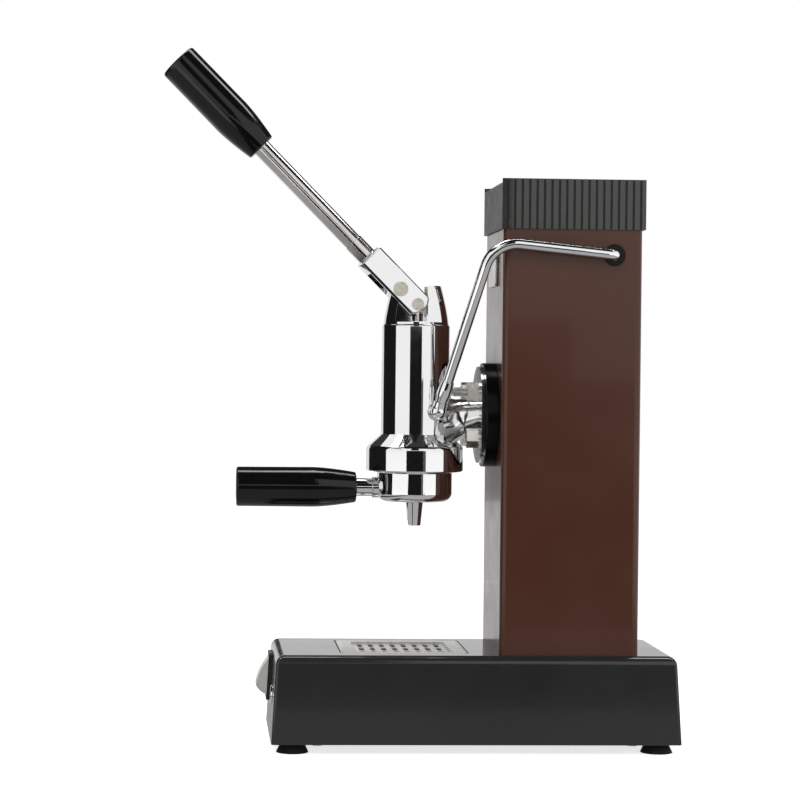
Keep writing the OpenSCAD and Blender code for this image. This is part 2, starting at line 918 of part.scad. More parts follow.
module boiler() {
    color(brass)
        difference() {
            union() {
                translate([0, column_y, boiler_z])
                    cylinder(d = boiler_d, h = boiler_h);
                translate([-block_w / 2, column_front + column_wall, neck_z - block_w / 2])
                    cube([block_w, column_w / 2 - column_wall, block_w]);
                translate([0, column_y, boiler_top - eps])
                    cylinder(d = neck_od, h = filler_neck_h);
            }
            translate([0, column_y, boiler_z + boiler_wall])
                cylinder(d = boiler_d - 2 * boiler_wall, h = boiler_h - 2 * boiler_wall);
            translate([0, column_y, boiler_z - eps])
                cylinder(d = opening_d, h = 2 * boiler_wall);
            translate([0, column_y, boiler_z])
                for (a = [45 : 90 : 315])
                    rotate(a)
                        translate([bolt_ring_r, 0, -eps])
                            cylinder(d = screw_d + 2 * push_clear, h = boiler_wall + 2 * eps);
            translate([0, column_y, boiler_top - 2 * boiler_wall])
                cylinder(d = neck_id, h = filler_neck_h + 3 * boiler_wall);
            translate([stub_x, pipe_y, boiler_top - 2 * boiler_wall])
                cylinder(d = pipe_d + 2 * push_clear, h = 3 * boiler_wall);
            translate([sense_x, sense_y, boiler_z - eps])
                cylinder(d = 1, h = 2 * boiler_wall);
            translate([0, column_front + column_wall - eps, neck_z])
                along_y()
                    at_corners(stud_gap / 2, stud_gap / 2)
                        cylinder(d = stud_d + 2 * push_clear, h = stud_in + eps);
        }
}

module element_flange() {
    color(brass)
        translate([0, column_y, boiler_z - flange_plate_t])
            difference() {
                cylinder(d = flange_plate_d, h = flange_plate_t);
                for (a = [45 : 90 : 315])
                    rotate(a)
                        translate([bolt_ring_r, 0, -eps])
                            cylinder(d = screw_d + 2 * push_clear, h = flange_plate_t + 2 * eps);
                for (s = [-1, 1])
                    translate([s * element_gap / 2, 0, -eps])
                        cylinder(d = element_d + 2 * push_clear, h = flange_plate_t + 2 * eps);
                translate([sense_x, sense_y - column_y, -eps])
                    cylinder(d = sense_d + 2 * push_clear, h = flange_plate_t + 2 * eps);
            }
}

module heating_element() {
    low = boiler_z - flange_plate_t - 8;
    high = boiler_z + element_h;
    side = element_gap / 2;
    color(copper)
        pipe_run(
            [[-side, column_y, low], [-side, column_y, high], [side, column_y, high], [side, column_y, low]],
            [0, 8, 8, 0], element_d);
}

module element_bolts() {
    color(steel)
        translate([0, column_y, boiler_z - flange_plate_t])
            for (a = [45 : 90 : 315])
                rotate(a)
                    translate([bolt_ring_r, 0, 0])
                        pan_screw(screw_d, flange_plate_t + boiler_wall + 3);
}

module safety_valve() {
    color(brass)
        translate([-24, column_y + 14, boiler_top]) {
            hex_prism(13, 8);
            cylinder(d = 9, h = 18);
            translate([0, 0, 18 - eps])
                cylinder(d = 5, h = 4);
        }
}

filler_z = boiler_top + filler_neck_h;
filler_skirt = 12;
filler_cap_d = neck_od + 10;
filler_gasket_t = 2;

module filler_gasket() {
    color(rubber)
        translate([0, column_y, filler_z])
            ring(neck_od - 0.6, neck_id + 0.6, filler_gasket_t);
}

module filler_cap() {
    color(black_plastic)
        translate([0, column_y, filler_z])
            difference() {
                translate([0, 0, -filler_skirt])
                    union() {
                        cylinder(d = filler_cap_d, h = filler_skirt + 8);
                        for (a = [0 : 45 : 315])
                            rotate(a)
                                translate([filler_cap_d / 2, 0, 0])
                                    cylinder(d = 4, h = filler_skirt + 8);
                    }
                translate([0, 0, -filler_skirt - eps])
                    cylinder(d = neck_od + 2 * run_clear, h = filler_skirt + filler_gasket_t + eps);
            }
}

// Transfer pipe

module pipe_grommet() {
    lip = 1.5;
    color(rubber)
        translate([column_in / 2 - lip, pipe_y, pipe_z])
            rotate([0, 90, 0])
                difference() {
                    union() {
                        cylinder(d = grommet_d, h = lip);
                        cylinder(d = grommet_d - 4, h = 2 * lip + column_wall);
                        translate([0, 0, lip + column_wall])
                            cylinder(d1 = grommet_d, d2 = grommet_d - 1.5, h = lip);
                    }
                    translate([0, 0, -eps])
                        cylinder(d = pipe_d + 2 * push_clear, h = 3 * lip + column_wall);
                }
}

module transfer_pipe() {
    color(chrome)
        pipe_run(pipe_route, pipe_bends, pipe_d);
}

module boiler_pipe_nut() {
    color(brass)
        translate([stub_x, pipe_y, boiler_top])
            difference() {
                hex_prism(14, 9);
                translate([0, 0, -eps])
                    cylinder(d = pipe_d + 2 * push_clear, h = 9 + 2 * eps);
            }
}

module group_pipe_nut() {
    color(chrome)
        oriented(boss_tip, side_of(pipe_dir), pipe_dir)
            difference() {
                union() {
                    cylinder(d1 = pipe_nut_d - 1.6, d2 = pipe_nut_d, h = nut_len * 0.35);
                    translate([0, 0, nut_len * 0.35 - eps])
                        cylinder(d = pipe_nut_d, h = nut_len * 0.25);
                    translate([0, 0, nut_len * 0.6 - eps])
                        cylinder(d1 = pipe_nut_d, d2 = pipe_d + 1.2, h = nut_len * 0.4);
                }
                translate([0, 0, nut_len * 0.6 - run_clear])
                    cylinder(d = pipe_d + 2 * push_clear, h = nut_len);
            }
}

// Group

module insulating_disc() {
    color(black_plastic)
        translate([0, disc_y, neck_z])
            along_y()
                difference() {
                    cylinder(d = disc_d, h = disc_t);
                    translate([0, 0, -eps])
                        at_corners(stud_gap / 2, stud_gap / 2)
                            cylinder(d = stud_d + 2 * push_clear, h = disc_t + 2 * eps);
                }
}

// Neck outline: straight beside the nuts, then a flare into the barrel
neck_straight = nut_t + 0.6;
neck_flare = 17;
neck_root = 3;
flare_out = 11;
function neck_outline(steps = 10) = concat(
    [[0, -neck_root], [neck_d / 2, -neck_root]],
    [for (i = [0 : steps])
        [neck_d / 2 + flare_out * pow(i / steps, 1.8), neck_straight + neck_flare * i / steps]],
    [[0, neck_straight + neck_flare]]
);

barrel_round = 1.6;
bell_round = 1.2;
bell_shoulder = 4;

function arc(c, r, from, to, steps = 6) =
    [for (i = [0 : steps]) let (a = from + (to - from) * i / steps) c + r * [cos(a), sin(a)]];

module group_body() {
    bell_r = bell_d / 2;
    barrel_r = barrel_d / 2;
    lean = atan((bell_r - barrel_r) / shoulder_h);
    color(chrome)
        difference() {
            union() {
                translate([0, group_y, 0])
                    rotate_extrude()
                        polygon(concat(
                            [[0, bell_z]],
                            arc([bell_r - bell_round, bell_z + bell_round], bell_round, -90, 0),
                            arc([bell_r - bell_shoulder, bell_top - bell_shoulder * tan(lean / 2)],
                                bell_shoulder, 0, lean),
                            [[barrel_r, barrel_z]],
                            arc([barrel_r - barrel_round, barrel_top - barrel_round], barrel_round, 0, 90),
                            [[0, barrel_top]]
                        ));
                difference() {
                    translate([0, flange_y, neck_z])
                        rotate([90 + neck_tilt, 0, 0])
                            rotate_extrude()
                                polygon(neck_outline());
                    translate([0, flange_y + flange_t / 2, neck_z])
                        along_y()
                            cylinder(d = flange_d, h = flange_t + 3 * neck_root);
                }
                translate([0, flange_y, neck_z])
                    along_y()
                        intersection() {
                            cylinder(d = flange_d, h = flange_t);
                            translate([-flange_w / 2, -flange_d, -1])
                                cube([flange_w, 2 * flange_d, flange_t + 2]);
                        }
                bar(boss_root, boss_tip, pipe_boss_d);
                translate(boss_root)
                    sphere(d = pipe_boss_d + 2);
                bar([0, group_y + 12, boss_root.z - 12], boss_root, pipe_boss_d + 0.8);
            }
            translate([0, group_y, 0]) {
                translate([0, 0, bell_z - eps])
                    cylinder(d = ledge_d, h = seat_z - bell_z + eps);
                translate([0, 0, bell_z + ledge_t])
                    cylinder(d = channel_d, h = channel_top - bell_z - ledge_t);
                for (a = [0, 180])
                    rotate(a - unlock_turn - lug_half - 3)
                        translate([0, 0, bell_z - 1])
                            rotate_extrude(angle = 2 * lug_half + 6)
                                translate([barrel_bore / 2, 0])
                                    square([(channel_d - barrel_bore) / 2 - 0.1, ledge_t + 2]);
                translate([0, 0, bore_z - eps])
                    cylinder(d = barrel_bore, h = barrel_top - bore_z + 2 * eps);
            }
            translate([0, flange_y - eps, neck_z])
                along_y()
                    at_corners(stud_gap / 2, stud_gap / 2)
                        cylinder(d = stud_d + 2 * push_clear, h = flange_t + 2 * eps);
        }
}

module flange_studs() {
    held = nut_t + flange_t + disc_t + column_wall + stud_in - 1;
    color(steel)
        for (sx = [-1, 1], sz = [-1, 1]) {
            out = sz > 0 ? upper_stud_out : lower_stud_out;
            translate([sx * stud_gap / 2, flange_y - nut_t - out, neck_z + sz * stud_gap / 2])
                along_y()
                    cylinder(d = stud_d, h = held + out);
        }
}

module flange_nuts() {
    color(chrome)
        translate([0, flange_y - nut_t, neck_z])
            along_y()
                for (sx = [-1, 1], sy = [-1, 1])
                    translate([sx * stud_gap / 2, sy * stud_gap / 2, 0])
                        difference() {
                            union() {
                                rotate(nut_turn * sx * sy)
                                    hex_prism(nut_af, nut_t);
                                translate([0, 0, nut_t - 1.6])
                                    cylinder(d = nut_af + 1.4, h = 1.6);
                            }
                            translate([0, 0, -eps])
                                cylinder(d = stud_d + 2 * push_clear, h = nut_t + 2 * eps);
                        }
}

function gcap_outline(steps = 12) = concat(
    [[0, -spigot_len], [barrel_bore / 2 - push_clear, -spigot_len], [barrel_bore / 2 - push_clear, 0]],
    [for (i = [0 : steps])
        let (t = i / steps)
        [gcap_d / 2 - (gcap_d - gcap_top_d) / 2 * pow(t, 1.35), gcap_h * t]],
    [[0, gcap_h]]
);

module group_cap() {
    flat_z = 1.5;
    flat_lean = 2.6;
    slot_front = pin_y - rod_pin_d / 2 - turn_clear;
    slot_back = pin_back_y + rod_pin_d / 2 + turn_clear;
    color(chrome)
        difference() {
            translate([0, group_y, barrel_top])
                rotate_extrude()
                    polygon(gcap_outline());
            translate([0, group_y, barrel_top + gcap_floor])
                cylinder(d = well_d, h = gcap_h);
            translate([0, group_y, barrel_top - spigot_len - eps])
                cylinder(d = rod_d + 2 * run_clear, h = gcap_h);
            for (s = [0, 1])
                mirror([s, 0, 0])
                    translate([0, group_y, barrel_top])
                        rotate([90, 0, 0])
                            linear_extrude(gcap_d + 2, center = true)
                                polygon([
                                    [flat_w / 2, flat_z],
                                    [gcap_d, flat_z],
                                    [gcap_d, gcap_h + 1],
                                    [flat_w / 2 - flat_lean, gcap_h + 1]
                                ]);
            translate([-gcap_d / 2, slot_front, barrel_top + gcap_floor])
                cube([gcap_d, slot_back - slot_front, gcap_h]);
            translate([-gcap_d / 2, fulcrum_y, fulcrum_z])
                rotate([0, 90, 0])
                    cylinder(d = fulcrum_d + 2 * run_clear, h = gcap_d);
            translate([-gcap_d / 2, fulcrum_y - fulcrum_d / 2 - run_clear, fulcrum_z])
                cube([gcap_d, fulcrum_d + 2 * run_clear, gcap_h]);
        }
}

seal_t = 3;
seal_depth = 2.6;
seal_z = [3, 8];

module piston() {
    color(brass)
        translate([0, group_y, piston_z])
            difference() {
                cylinder(d = barrel_bore - 4 * run_clear, h = piston_t);
                for (z = seal_z)
                    translate([0, 0, z])
                        ring(barrel_bore + 1, barrel_bore - 2 * seal_depth, seal_t);
                translate([0, 0, piston_t - 10])
                    cylinder(d = rod_d + 2 * push_clear, h = 10 + eps);
            }
}

module piston_seals() {
    color(rubber)
        translate([0, group_y, piston_z])
            for (z = seal_z)
                translate([0, 0, z + push_clear])
                    ring(barrel_bore - 2 * run_clear, barrel_bore - 2 * seal_depth + 2 * push_clear,
                        seal_t - 2 * push_clear);
}

module piston_rod() {
    eye_r = rod_pin_d / 2 + eye_slack;
    front = pin_y - eye_r;
    back = pin_back_y + eye_r;
    head_w = 16;
    head_low = pin_z - eye_r - eye_wall;
    color(steel)
        difference() {
            union() {
                translate([0, group_y, piston_z + piston_t - 10 + push_clear])
                    cylinder(d = rod_d, h = head_low - piston_z - piston_t + 10);
                translate([-head_w / 2, front - eye_wall, head_low])
                    cube([head_w, back - front + 2 * eye_wall, 2 * eye_r + 2 * eye_wall]);
            }
            long_hole(front + eye_r, back - eye_r, pin_z, eye_r, head_w + 2);
        }
}

// Slot with round ends through X, between two places along Y
module long_hole(y0, y1, z, r, w) {
    for (y = [y0, y1])
        translate([-w / 2, y, z])
            rotate([0, 90, 0])
                cylinder(r = r, h = w);
    translate([-w / 2, y0, z - r])
        cube([w, y1 - y0, 2 * r]);
}

spring_low = piston_z + piston_t + wire_d / 2 + 0.1;
spring_high = barrel_top - spigot_len - wire_d / 2 - 0.1;
ring_sides = 8;
rings_per_turn = 24;

// Points of the coil: a ring of points at each step along the helix
function coil_points() =
    let (steps = spring_turns * rings_per_turn)
    let (climb = spring_high - spring_low)
    [for (i = [0 : steps])
        let (a = 360 * i / rings_per_turn)
        let (radial = [cos(a), sin(a), 0])
        let (rise = climb / (PI * spring_turns * spring_d))
        let (tangent = unit([-sin(a), cos(a), rise]))
        let (normal = cross(tangent, radial))
        let (centre = [radial.x * spring_d / 2, radial.y * spring_d / 2, spring_low + climb * i / steps])
        for (k = [0 : ring_sides - 1])
            let (b = 360 * k / ring_sides)
            centre + wire_d / 2 * (cos(b) * radial + sin(b) * normal)];

function coil_faces() =
    let (steps = spring_turns * rings_per_turn)
    let (last = steps * ring_sides)
    concat(
        [for (i = [0 : steps - 1], k = [0 : ring_sides - 1])
            let (p = i * ring_sides + k)
            let (q = i * ring_sides + (k + 1) % ring_sides)
            for (f = [[p, p + ring_sides, q], [q, p + ring_sides, q + ring_sides]])
                f],
        [for (k = [1 : ring_sides - 2]) [0, k, k + 1]],
        [for (k = [1 : ring_sides - 2]) [last, last + k + 1, last + k]]
    );

module main_spring() {
    color(steel)
        translate([0, group_y, 0])
            polyhedron(coil_points(), coil_faces());
}

screen_dish = 2;

module shower_screen() {
    low = seat_z - screen_t - screen_dish;
    color(steel)
        translate([0, group_y, low])
            difference() {
                union() {
                    translate([0, 0, screen_dish])
                        cylinder(d = ledge_d - 2 * turn_clear, h = screen_t);
                    cylinder(d = barrel_bore - 1, h = screen_dish + eps);
                }
                translate([0, 0, screen_t])
                    cylinder(d = barrel_bore - 1 - 2 * screen_t, h = screen_dish + screen_t);
                for (r = [0 : 3], k = [0 : max(0, 6 * r - 1)])
                    rotate(60 * k / max(1, r))
                        translate([4.6 * r, 0, -eps])
                            cylinder(d = 1.8, h = screen_t + 2 * eps);
            }
}

module group_gasket() {
    color(rubber)
        translate([0, group_y, gasket_z])
            ring(ledge_d - 2 * push_clear, barrel_bore, gasket_t);
}

// Portafilter

cup_round = 6;
cup_floor = 3;
cup_bore = basket_d + 1.2;
spigot_d = 9;
spout_bore = 6.4;
boss_ring_d = stem_d + 2;
stem_z = cup_z + stem_rise;
grip_near = group_y - stem_reach;
tang_d = 9;
tang_len = 60;

module portafilter_cup() {
    cup_r = cup_d / 2;
    color(chrome)
        difference() {
            union() {
                translate([0, group_y, 0])
                    rotate_extrude()
                        polygon(concat(
                            [[0, cup_z]],
                            arc([cup_r - cup_round, cup_z + cup_round], cup_round, -78, 0),
                            [
                                [cup_r, bell_z - 1],
                                [cup_rim_d / 2, bell_z],
                                [cup_rim_d / 2, cup_top],
                                [0, cup_top]
                            ]
                        ));
                for (a = [0, 180])
                    translate([0, group_y, bell_z + ledge_t + turn_clear])
                        rotate(a - lug_half)
                            rotate_extrude(angle = 2 * lug_half)
                                square([lug_d / 2, lug_t]);
                translate([0, group_y - cup_r + 3, stem_z])
                    rotate([90, 0, 0])
                        cylinder(d = boss_ring_d, h = 6.2);
            }
            translate([0, group_y, cup_z + cup_floor])
                cylinder(d = cup_bore, h = cup_top - cup_z);
            translate([0, group_y, cup_z - eps])
                cylinder(d = spigot_d, h = cup_floor + 2 * eps);
            translate([0, group_y, cup_top - 7])
                ring(cup_bore + 2.2, cup_bore - 1, 1.8);
        }
}

basket_wall = 0.8;
basket_depth = 22;

module filter_basket() {
    color(steel)
        translate([0, group_y, cup_top])
            difference() {
                union() {
                    cylinder(d = cup_rim_d - 1, h = rim_t);
                    translate([0, 0, -basket_depth])
                        cylinder(d = basket_d, h = basket_depth + eps);
                }
                translate([0, 0, basket_wall - basket_depth])
                    cylinder(d = basket_d - 2 * basket_wall, h = basket_depth + rim_t);
                for (r = [0 : 4], k = [0 : max(0, 6 * r - 1)])
                    rotate(60 * k / max(1, r))
                        translate([4.2 * r, 0, -basket_depth - eps])
                            cylinder(d = 1.2, h = basket_wall + 2 * eps);
            }
}

module basket_clip() {
    wire = 1.4;
    color(steel)
        translate([0, group_y, cup_top - 7 + 0.9])
            rotate(20)
                rotate_extrude(angle = 320)
                    translate([basket_d / 2 + wire / 2 + push_clear, 0])
                        circle(d = wire);
}

spout_d = 12.7;
spout_tip_d = 9.2;

module spout() {
    groove = 4.4;
    color(chrome)
        translate([0, group_y, cup_z])
            difference() {
                union() {
                    translate([0, 0, -spout_len])
                        cylinder(d1 = spout_tip_d, d2 = spout_d, h = spout_len);
                    cylinder(d = spigot_d - 2 * push_clear, h = cup_floor);
                }
                translate([0, 0, -4])
                    cylinder(d = spout_bore, h = cup_floor + 5);
                translate([0, -spout_d * 0.36, -spout_len - eps])
                    rotate([-9, 0, 0])
                        cylinder(d = groove, h = spout_len - 3);
                translate([0, spout_d * 0.2, -spout_len - eps])
                    rotate([9, 0, 0])
                        cylinder(d = groove, h = spout_len - 3);
            }
}

module portafilter_stem() {
    stem_start = group_y - cup_d / 2 - 3.2;
    color(chrome)
        translate([0, stem_start, stem_z])
            rotate([90, 0, 0]) {
                cylinder(d = stem_d, h = stem_start - grip_near);
                cylinder(d = tang_d, h = stem_start - grip_near + tang_len);
            }
}

// Grip along +z from its narrow end, with a bore for what it is pushed on
module grip(bore_d, bore_len) {
    edge = 1.5;
    r = grip_d / 2;
    neck_r = grip_neck_d / 2;
    taper = grip_len - grip_straight;
    difference() {
        rotate_extrude()
            polygon(concat(
                [[0, 0]],
                arc([neck_r - edge, edge], edge, -90, 0, 4),
                [for (i = [1 : 8])
                    let (t = i / 8)
                    [neck_r + (r - neck_r) * (1 - pow(1 - t, 1.5)), edge + (taper - edge) * t]],
                arc([r - edge - 0.15, grip_len - edge], edge, 0, 90, 4),
                [[0, grip_len]]
            ));
        translate([0, 0, -eps])
            cylinder(d = bore_d + 2 * push_clear, h = bore_len + 1);
    }
}

module portafilter_grip() {
    color(black_plastic)
        translate([0, grip_near, stem_z])
            rotate([90, 0, 0])
                grip(tang_d, tang_len);
}

// Lever. In this frame z runs from the fulcrum towards the grip and y points back and up.

module lever_frame() {
    translate([0, fulcrum_y, fulcrum_z])
        rotate([90 - lever_rise, 0, 0])
            children();
}

web_t = 10;
fork_w = fork_gap + 2 * cheek_t;
end_r = 11;
end_u = -22;
cheek_r = 1.5;
tube_seat_d = 8;
tube_in_grip = 70;

module cheek_outline() {
    intersection() {
        translate([cheek_v, (fork_len + end_u) / 2])
            round_rect(cheek_w, fork_len - end_u, cheek_r);
        union() {
            translate([cheek_v, end_u + end_r])
                circle(end_r);
            translate([cheek_v - cheek_w / 2, end_u + end_r])
                square([cheek_w, fork_len - end_u - end_r]);
        }
    }
}

module lever_fork() {
    color(chrome)
        lever_frame()
            difference() {
                across_x(fork_w)
                    cheek_outline();
                translate([0, 0, (end_u - 1 + fork_len - web_t) / 2])
                    cube([fork_gap, 3 * cheek_w, fork_len - web_t - end_u + 1], center = true);
                translate([0, tube_v, 0])
                    cylinder(d = tube_seat_d + 2 * push_clear, h = fork_len + 1);
                rotate([0, 90, 0])
                    cylinder(d = fulcrum_head_d + 2 * push_clear, h = fork_w + 2, center = true);
                translate([0, pin_v, pin_u])
                    rotate([0, 90, 0])
                        cylinder(d = rod_pin_head_d + 2 * push_clear, h = fork_w + 2, center = true);
            }
}

module lever_ferrule() {
    color(chrome)
        lever_frame()
            translate([0, tube_v, fork_len])
                ring(lever_d + 0.9, lever_d + 2 * push_clear, ferrule_len);
}

module lever_tube() {
    color(chrome)
        lever_frame()
            translate([0, tube_v, fork_len]) {
                cylinder(d = lever_d, h = lever_len - grip_len + tube_in_grip - fork_len);
                translate([0, 0, 0.5 - web_t])
                    cylinder(d = tube_seat_d, h = web_t);
            }
}

module lever_grip() {
    color(black_plastic)
        lever_frame()
            translate([0, tube_v, lever_len - grip_len])
                grip(lever_d, tube_in_grip);
}

// Pin across the fork: a shank between the cheeks and a wider head in each cheek
module cross_pin(d, head) {
    rotate([0, 90, 0]) {
        cylinder(d = d, h = fork_gap + 2 * eps, center = true);
        for (s = [0, 1])
            mirror([0, 0, s])
                translate([0, 0, fork_gap / 2])
                    cylinder(d = head, h = cheek_t + 0.3);
    }
}

module fulcrum_pin() {
    color(steel)
        lever_frame()
            cross_pin(fulcrum_d, fulcrum_head_d);
}

module rod_pin() {
    color(steel)
        lever_frame()
            translate([0, pin_v, pin_u])
                cross_pin(rod_pin_d, rod_pin_head_d);
}

base_shell();
bottom_plate();
bottom_screws();
foot_front_left();
foot_front_right();
foot_rear_left();
foot_rear_right();
drip_pan();
drip_grid();
switch_housing();
rocker();
lamp_ring();
lamp_lens();
cord_gland();
terminal_block();
pressure_switch();
sense_pipe();
column_shell();
column_screws();
badge_plate();
top_cap();
boiler();
element_flange();
heating_element();
element_bolts();
safety_valve();
filler_cap();
filler_gasket();
pipe_grommet();
transfer_pipe();
boiler_pipe_nut();
group_pipe_nut();
insulating_disc();
group_body();
flange_studs();
flange_nuts();
group_cap();
piston();
piston_seals();
piston_rod();
main_spring();
shower_screen();
group_gasket();
portafilter_cup();
filter_basket();
basket_clip();
spout();
portafilter_stem();
portafilter_grip();
lever_fork();
lever_ferrule();
lever_tube();
lever_grip();
fulcrum_pin();
rod_pin();
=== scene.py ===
"""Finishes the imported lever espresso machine, lights it and points a camera at it."""

import json
import math

import bmesh
import bpy
from bpy.props import FloatProperty, FloatVectorProperty, PointerProperty
from mathutils import Matrix, Vector


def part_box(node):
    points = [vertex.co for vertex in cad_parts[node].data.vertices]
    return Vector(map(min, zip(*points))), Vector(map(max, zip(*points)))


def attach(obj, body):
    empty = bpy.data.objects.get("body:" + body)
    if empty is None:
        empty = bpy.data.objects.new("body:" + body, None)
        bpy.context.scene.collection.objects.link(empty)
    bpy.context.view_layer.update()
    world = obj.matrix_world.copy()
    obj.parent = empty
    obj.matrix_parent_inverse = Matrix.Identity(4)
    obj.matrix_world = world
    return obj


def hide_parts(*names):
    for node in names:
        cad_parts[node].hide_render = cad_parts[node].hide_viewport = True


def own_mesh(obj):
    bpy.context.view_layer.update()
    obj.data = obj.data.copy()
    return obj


bl_info = {
    "name": "Lever Espresso Machine",
    "version": (1, 0, 0),
    "blender": (4, 5, 0),
    "location": "View3D > Sidebar > Espresso",
    "description": "Finishes the packed machine's parts and sets a plain studio round them",
    "category": "Object",
}

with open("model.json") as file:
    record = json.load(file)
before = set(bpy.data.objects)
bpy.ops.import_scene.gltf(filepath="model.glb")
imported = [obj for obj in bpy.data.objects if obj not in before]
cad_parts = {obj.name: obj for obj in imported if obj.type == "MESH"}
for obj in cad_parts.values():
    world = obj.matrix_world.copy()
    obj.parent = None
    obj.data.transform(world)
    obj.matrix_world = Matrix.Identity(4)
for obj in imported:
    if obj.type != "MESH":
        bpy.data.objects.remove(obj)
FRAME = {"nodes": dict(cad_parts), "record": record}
NODES = FRAME["nodes"]
BODY_OF = {node: body for body, nodes in FRAME["record"]["behaviour"]["bodies"].items() for node in nodes}
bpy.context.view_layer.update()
MM = 0.001
FULL_TURN = 2 * math.pi


def middle(node):
    """Centre of a CAD node's box."""
    low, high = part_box(node)
    return (Vector(low) + Vector(high)) / 2


def spread(node):
    """Size of a CAD node's box."""
    low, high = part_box(node)
    return Vector(high) - Vector(low)


# Settings


class EspressoFinishes(bpy.types.PropertyGroup):
    """Colours and gloss that a user would change."""

    column_colour: FloatVectorProperty(
        name="Column", description="Enamel of the column", subtype="COLOR", size=3, min=0, max=1,
        default=(0.067, 0.0245, 0.0155),
    )
    base_colour: FloatVectorProperty(
        name="Base", description="Enamel of the base", subtype="COLOR", size=3, min=0, max=1,
        default=(0.021, 0.021, 0.0213),
    )
    plastic_colour: FloatVectorProperty(
        name="Plastic", description="Cap, disc and switch frame", subtype="COLOR", size=3, min=0, max=1,
        default=(0.03, 0.03, 0.029),
    )
    grip_colour: FloatVectorProperty(
        name="Grips", description="Lever and portafilter grips", subtype="COLOR", size=3, min=0, max=1,
        default=(0.004, 0.004, 0.004),
    )
    chrome_colour: FloatVectorProperty(
        name="Chrome", description="Plating of the group", subtype="COLOR", size=3, min=0, max=1,
        default=(0.86, 0.86, 0.865),
    )
    steel_colour: FloatVectorProperty(
        name="Steel", description="Tray, studs and pins", subtype="COLOR", size=3, min=0, max=1,
        default=(0.66, 0.645, 0.61),
    )
    chrome_roughness: FloatProperty(
        name="Chrome roughness", description="Blur of the plating's reflections", subtype="FACTOR",
        min=0, max=1, default=0.035,
    )


class EspressoDetails(bpy.types.PropertyGroup):
    """Sizes of the small details that the scene adds."""

    edge: FloatProperty(
        name="Edge", description="Usual rounding of an edge", subtype="DISTANCE", unit="LENGTH",
        min=0.05 * MM, max=1 * MM, default=0.3 * MM,
    )
    thread_pitch: FloatProperty(
        name="Thread pitch", description="Pitch of the studs' thread", subtype="DISTANCE", unit="LENGTH",
        min=0.5 * MM, max=2 * MM, default=1 * MM,
    )


def finishes():
    return bpy.context.scene.espresso_finishes


def details():
    return bpy.context.scene.espresso_details


# Shaders


class Wire:
    """A shader socket that takes part in Python sums."""

    def __init__(self, shader, socket):
        self.shader = shader
        self.socket = socket

    def _sum(self, operation, first, second):
        return self.shader.node("ShaderNodeMath", {"operation": operation}, {0: first, 1: second})

    def __add__(self, other):
        return self._sum("ADD", self, other)

    __radd__ = __add__

    def __sub__(self, other):
        return self._sum("SUBTRACT", self, other)

    def __rsub__(self, other):
        return self._sum("SUBTRACT", other, self)

    def __mul__(self, other):
        return self._sum("MULTIPLY", self, other)

    __rmul__ = __mul__

    def __truediv__(self, other):
        return self._sum("DIVIDE", self, other)

    def __rtruediv__(self, other):
        return self._sum("DIVIDE", other, self)

    def __abs__(self):
        return self._sum("ABSOLUTE", self, 0)


# The share of a noise texture's range that its values mostly fill
NOISE_LOW, NOISE_HIGH = 0.3, 0.7


class Shader:
    """A node tree with one way to add any node."""

    def __init__(self, tree):
        self.tree = tree

    def node(self, kind, settings=None, inputs=None, output=0):
        made = self.tree.nodes.new(kind)
        for key, value in (settings or {}).items():
            if key == "stops":
                self.set_stops(made.color_ramp, value)
            else:
                setattr(made, key, value)
        for key, value in (inputs or {}).items():
            self.feed(made.inputs[key], value)
        return Wire(self, made.outputs[output])

    def feed(self, socket, value):
        if isinstance(value, Wire):
            self.tree.links.new(value.socket, socket)
        else:
            socket.default_value = value

    def set_stops(self, ramp, stops):
        while len(ramp.elements) < len(stops):
            ramp.elements.new(0.5)
        for element, (place, colour) in zip(ramp.elements, stops):
            element.position = place
            element.color = (*colour, 1)

    def place(self, stretch=(1, 1, 1)):
        """Object coordinates, stretched."""
        coords = self.node("ShaderNodeTexCoord", output="Object")
        return self.node("ShaderNodeMapping", inputs={"Vector": coords, "Scale": stretch})

    def axes(self):
        """The three object coordinates as numbers."""
        coords = self.node("ShaderNodeTexCoord", output="Object")
        split = self.node("ShaderNodeSeparateXYZ", inputs={0: coords}).socket.node
        return [Wire(self, socket) for socket in split.outputs]

    def larger(self, first, second):
        return self.node("ShaderNodeMath", {"operation": "MAXIMUM"}, {0: first, 1: second})

    def noise(self, scale, detail=3, stretch=(1, 1, 1)):
        return self.node("ShaderNodeTexNoise", inputs={
            "Vector": self.place(stretch), "Scale": scale, "Detail": detail,
        })

    def between(self, fac, low, high):
        """A number that runs from low to high as the noise goes from dark to light."""
        return self.ramp(fac, NOISE_LOW, NOISE_HIGH, low, high)

    def ramp(self, value, start, end, low=0.0, high=1.0):
        """A number that runs from low to high as the value goes from start to end."""
        return self.node("ShaderNodeMapRange", inputs={
            "Value": value, "From Min": start, "From Max": end, "To Min": low, "To Max": high,
        })

    def blend(self, fac, first, second):
        return self.node("ShaderNodeMix", {"data_type": "RGBA"}, {0: fac, 6: first, 7: second}, output=2)

    def bump(self, height, strength, distance):
        return self.node("ShaderNodeBump", inputs={
            "Height": height, "Strength": strength, "Distance": distance,
        })


def shaded(colour, factor):
    return tuple(min(1.0, c * factor) for c in colour)


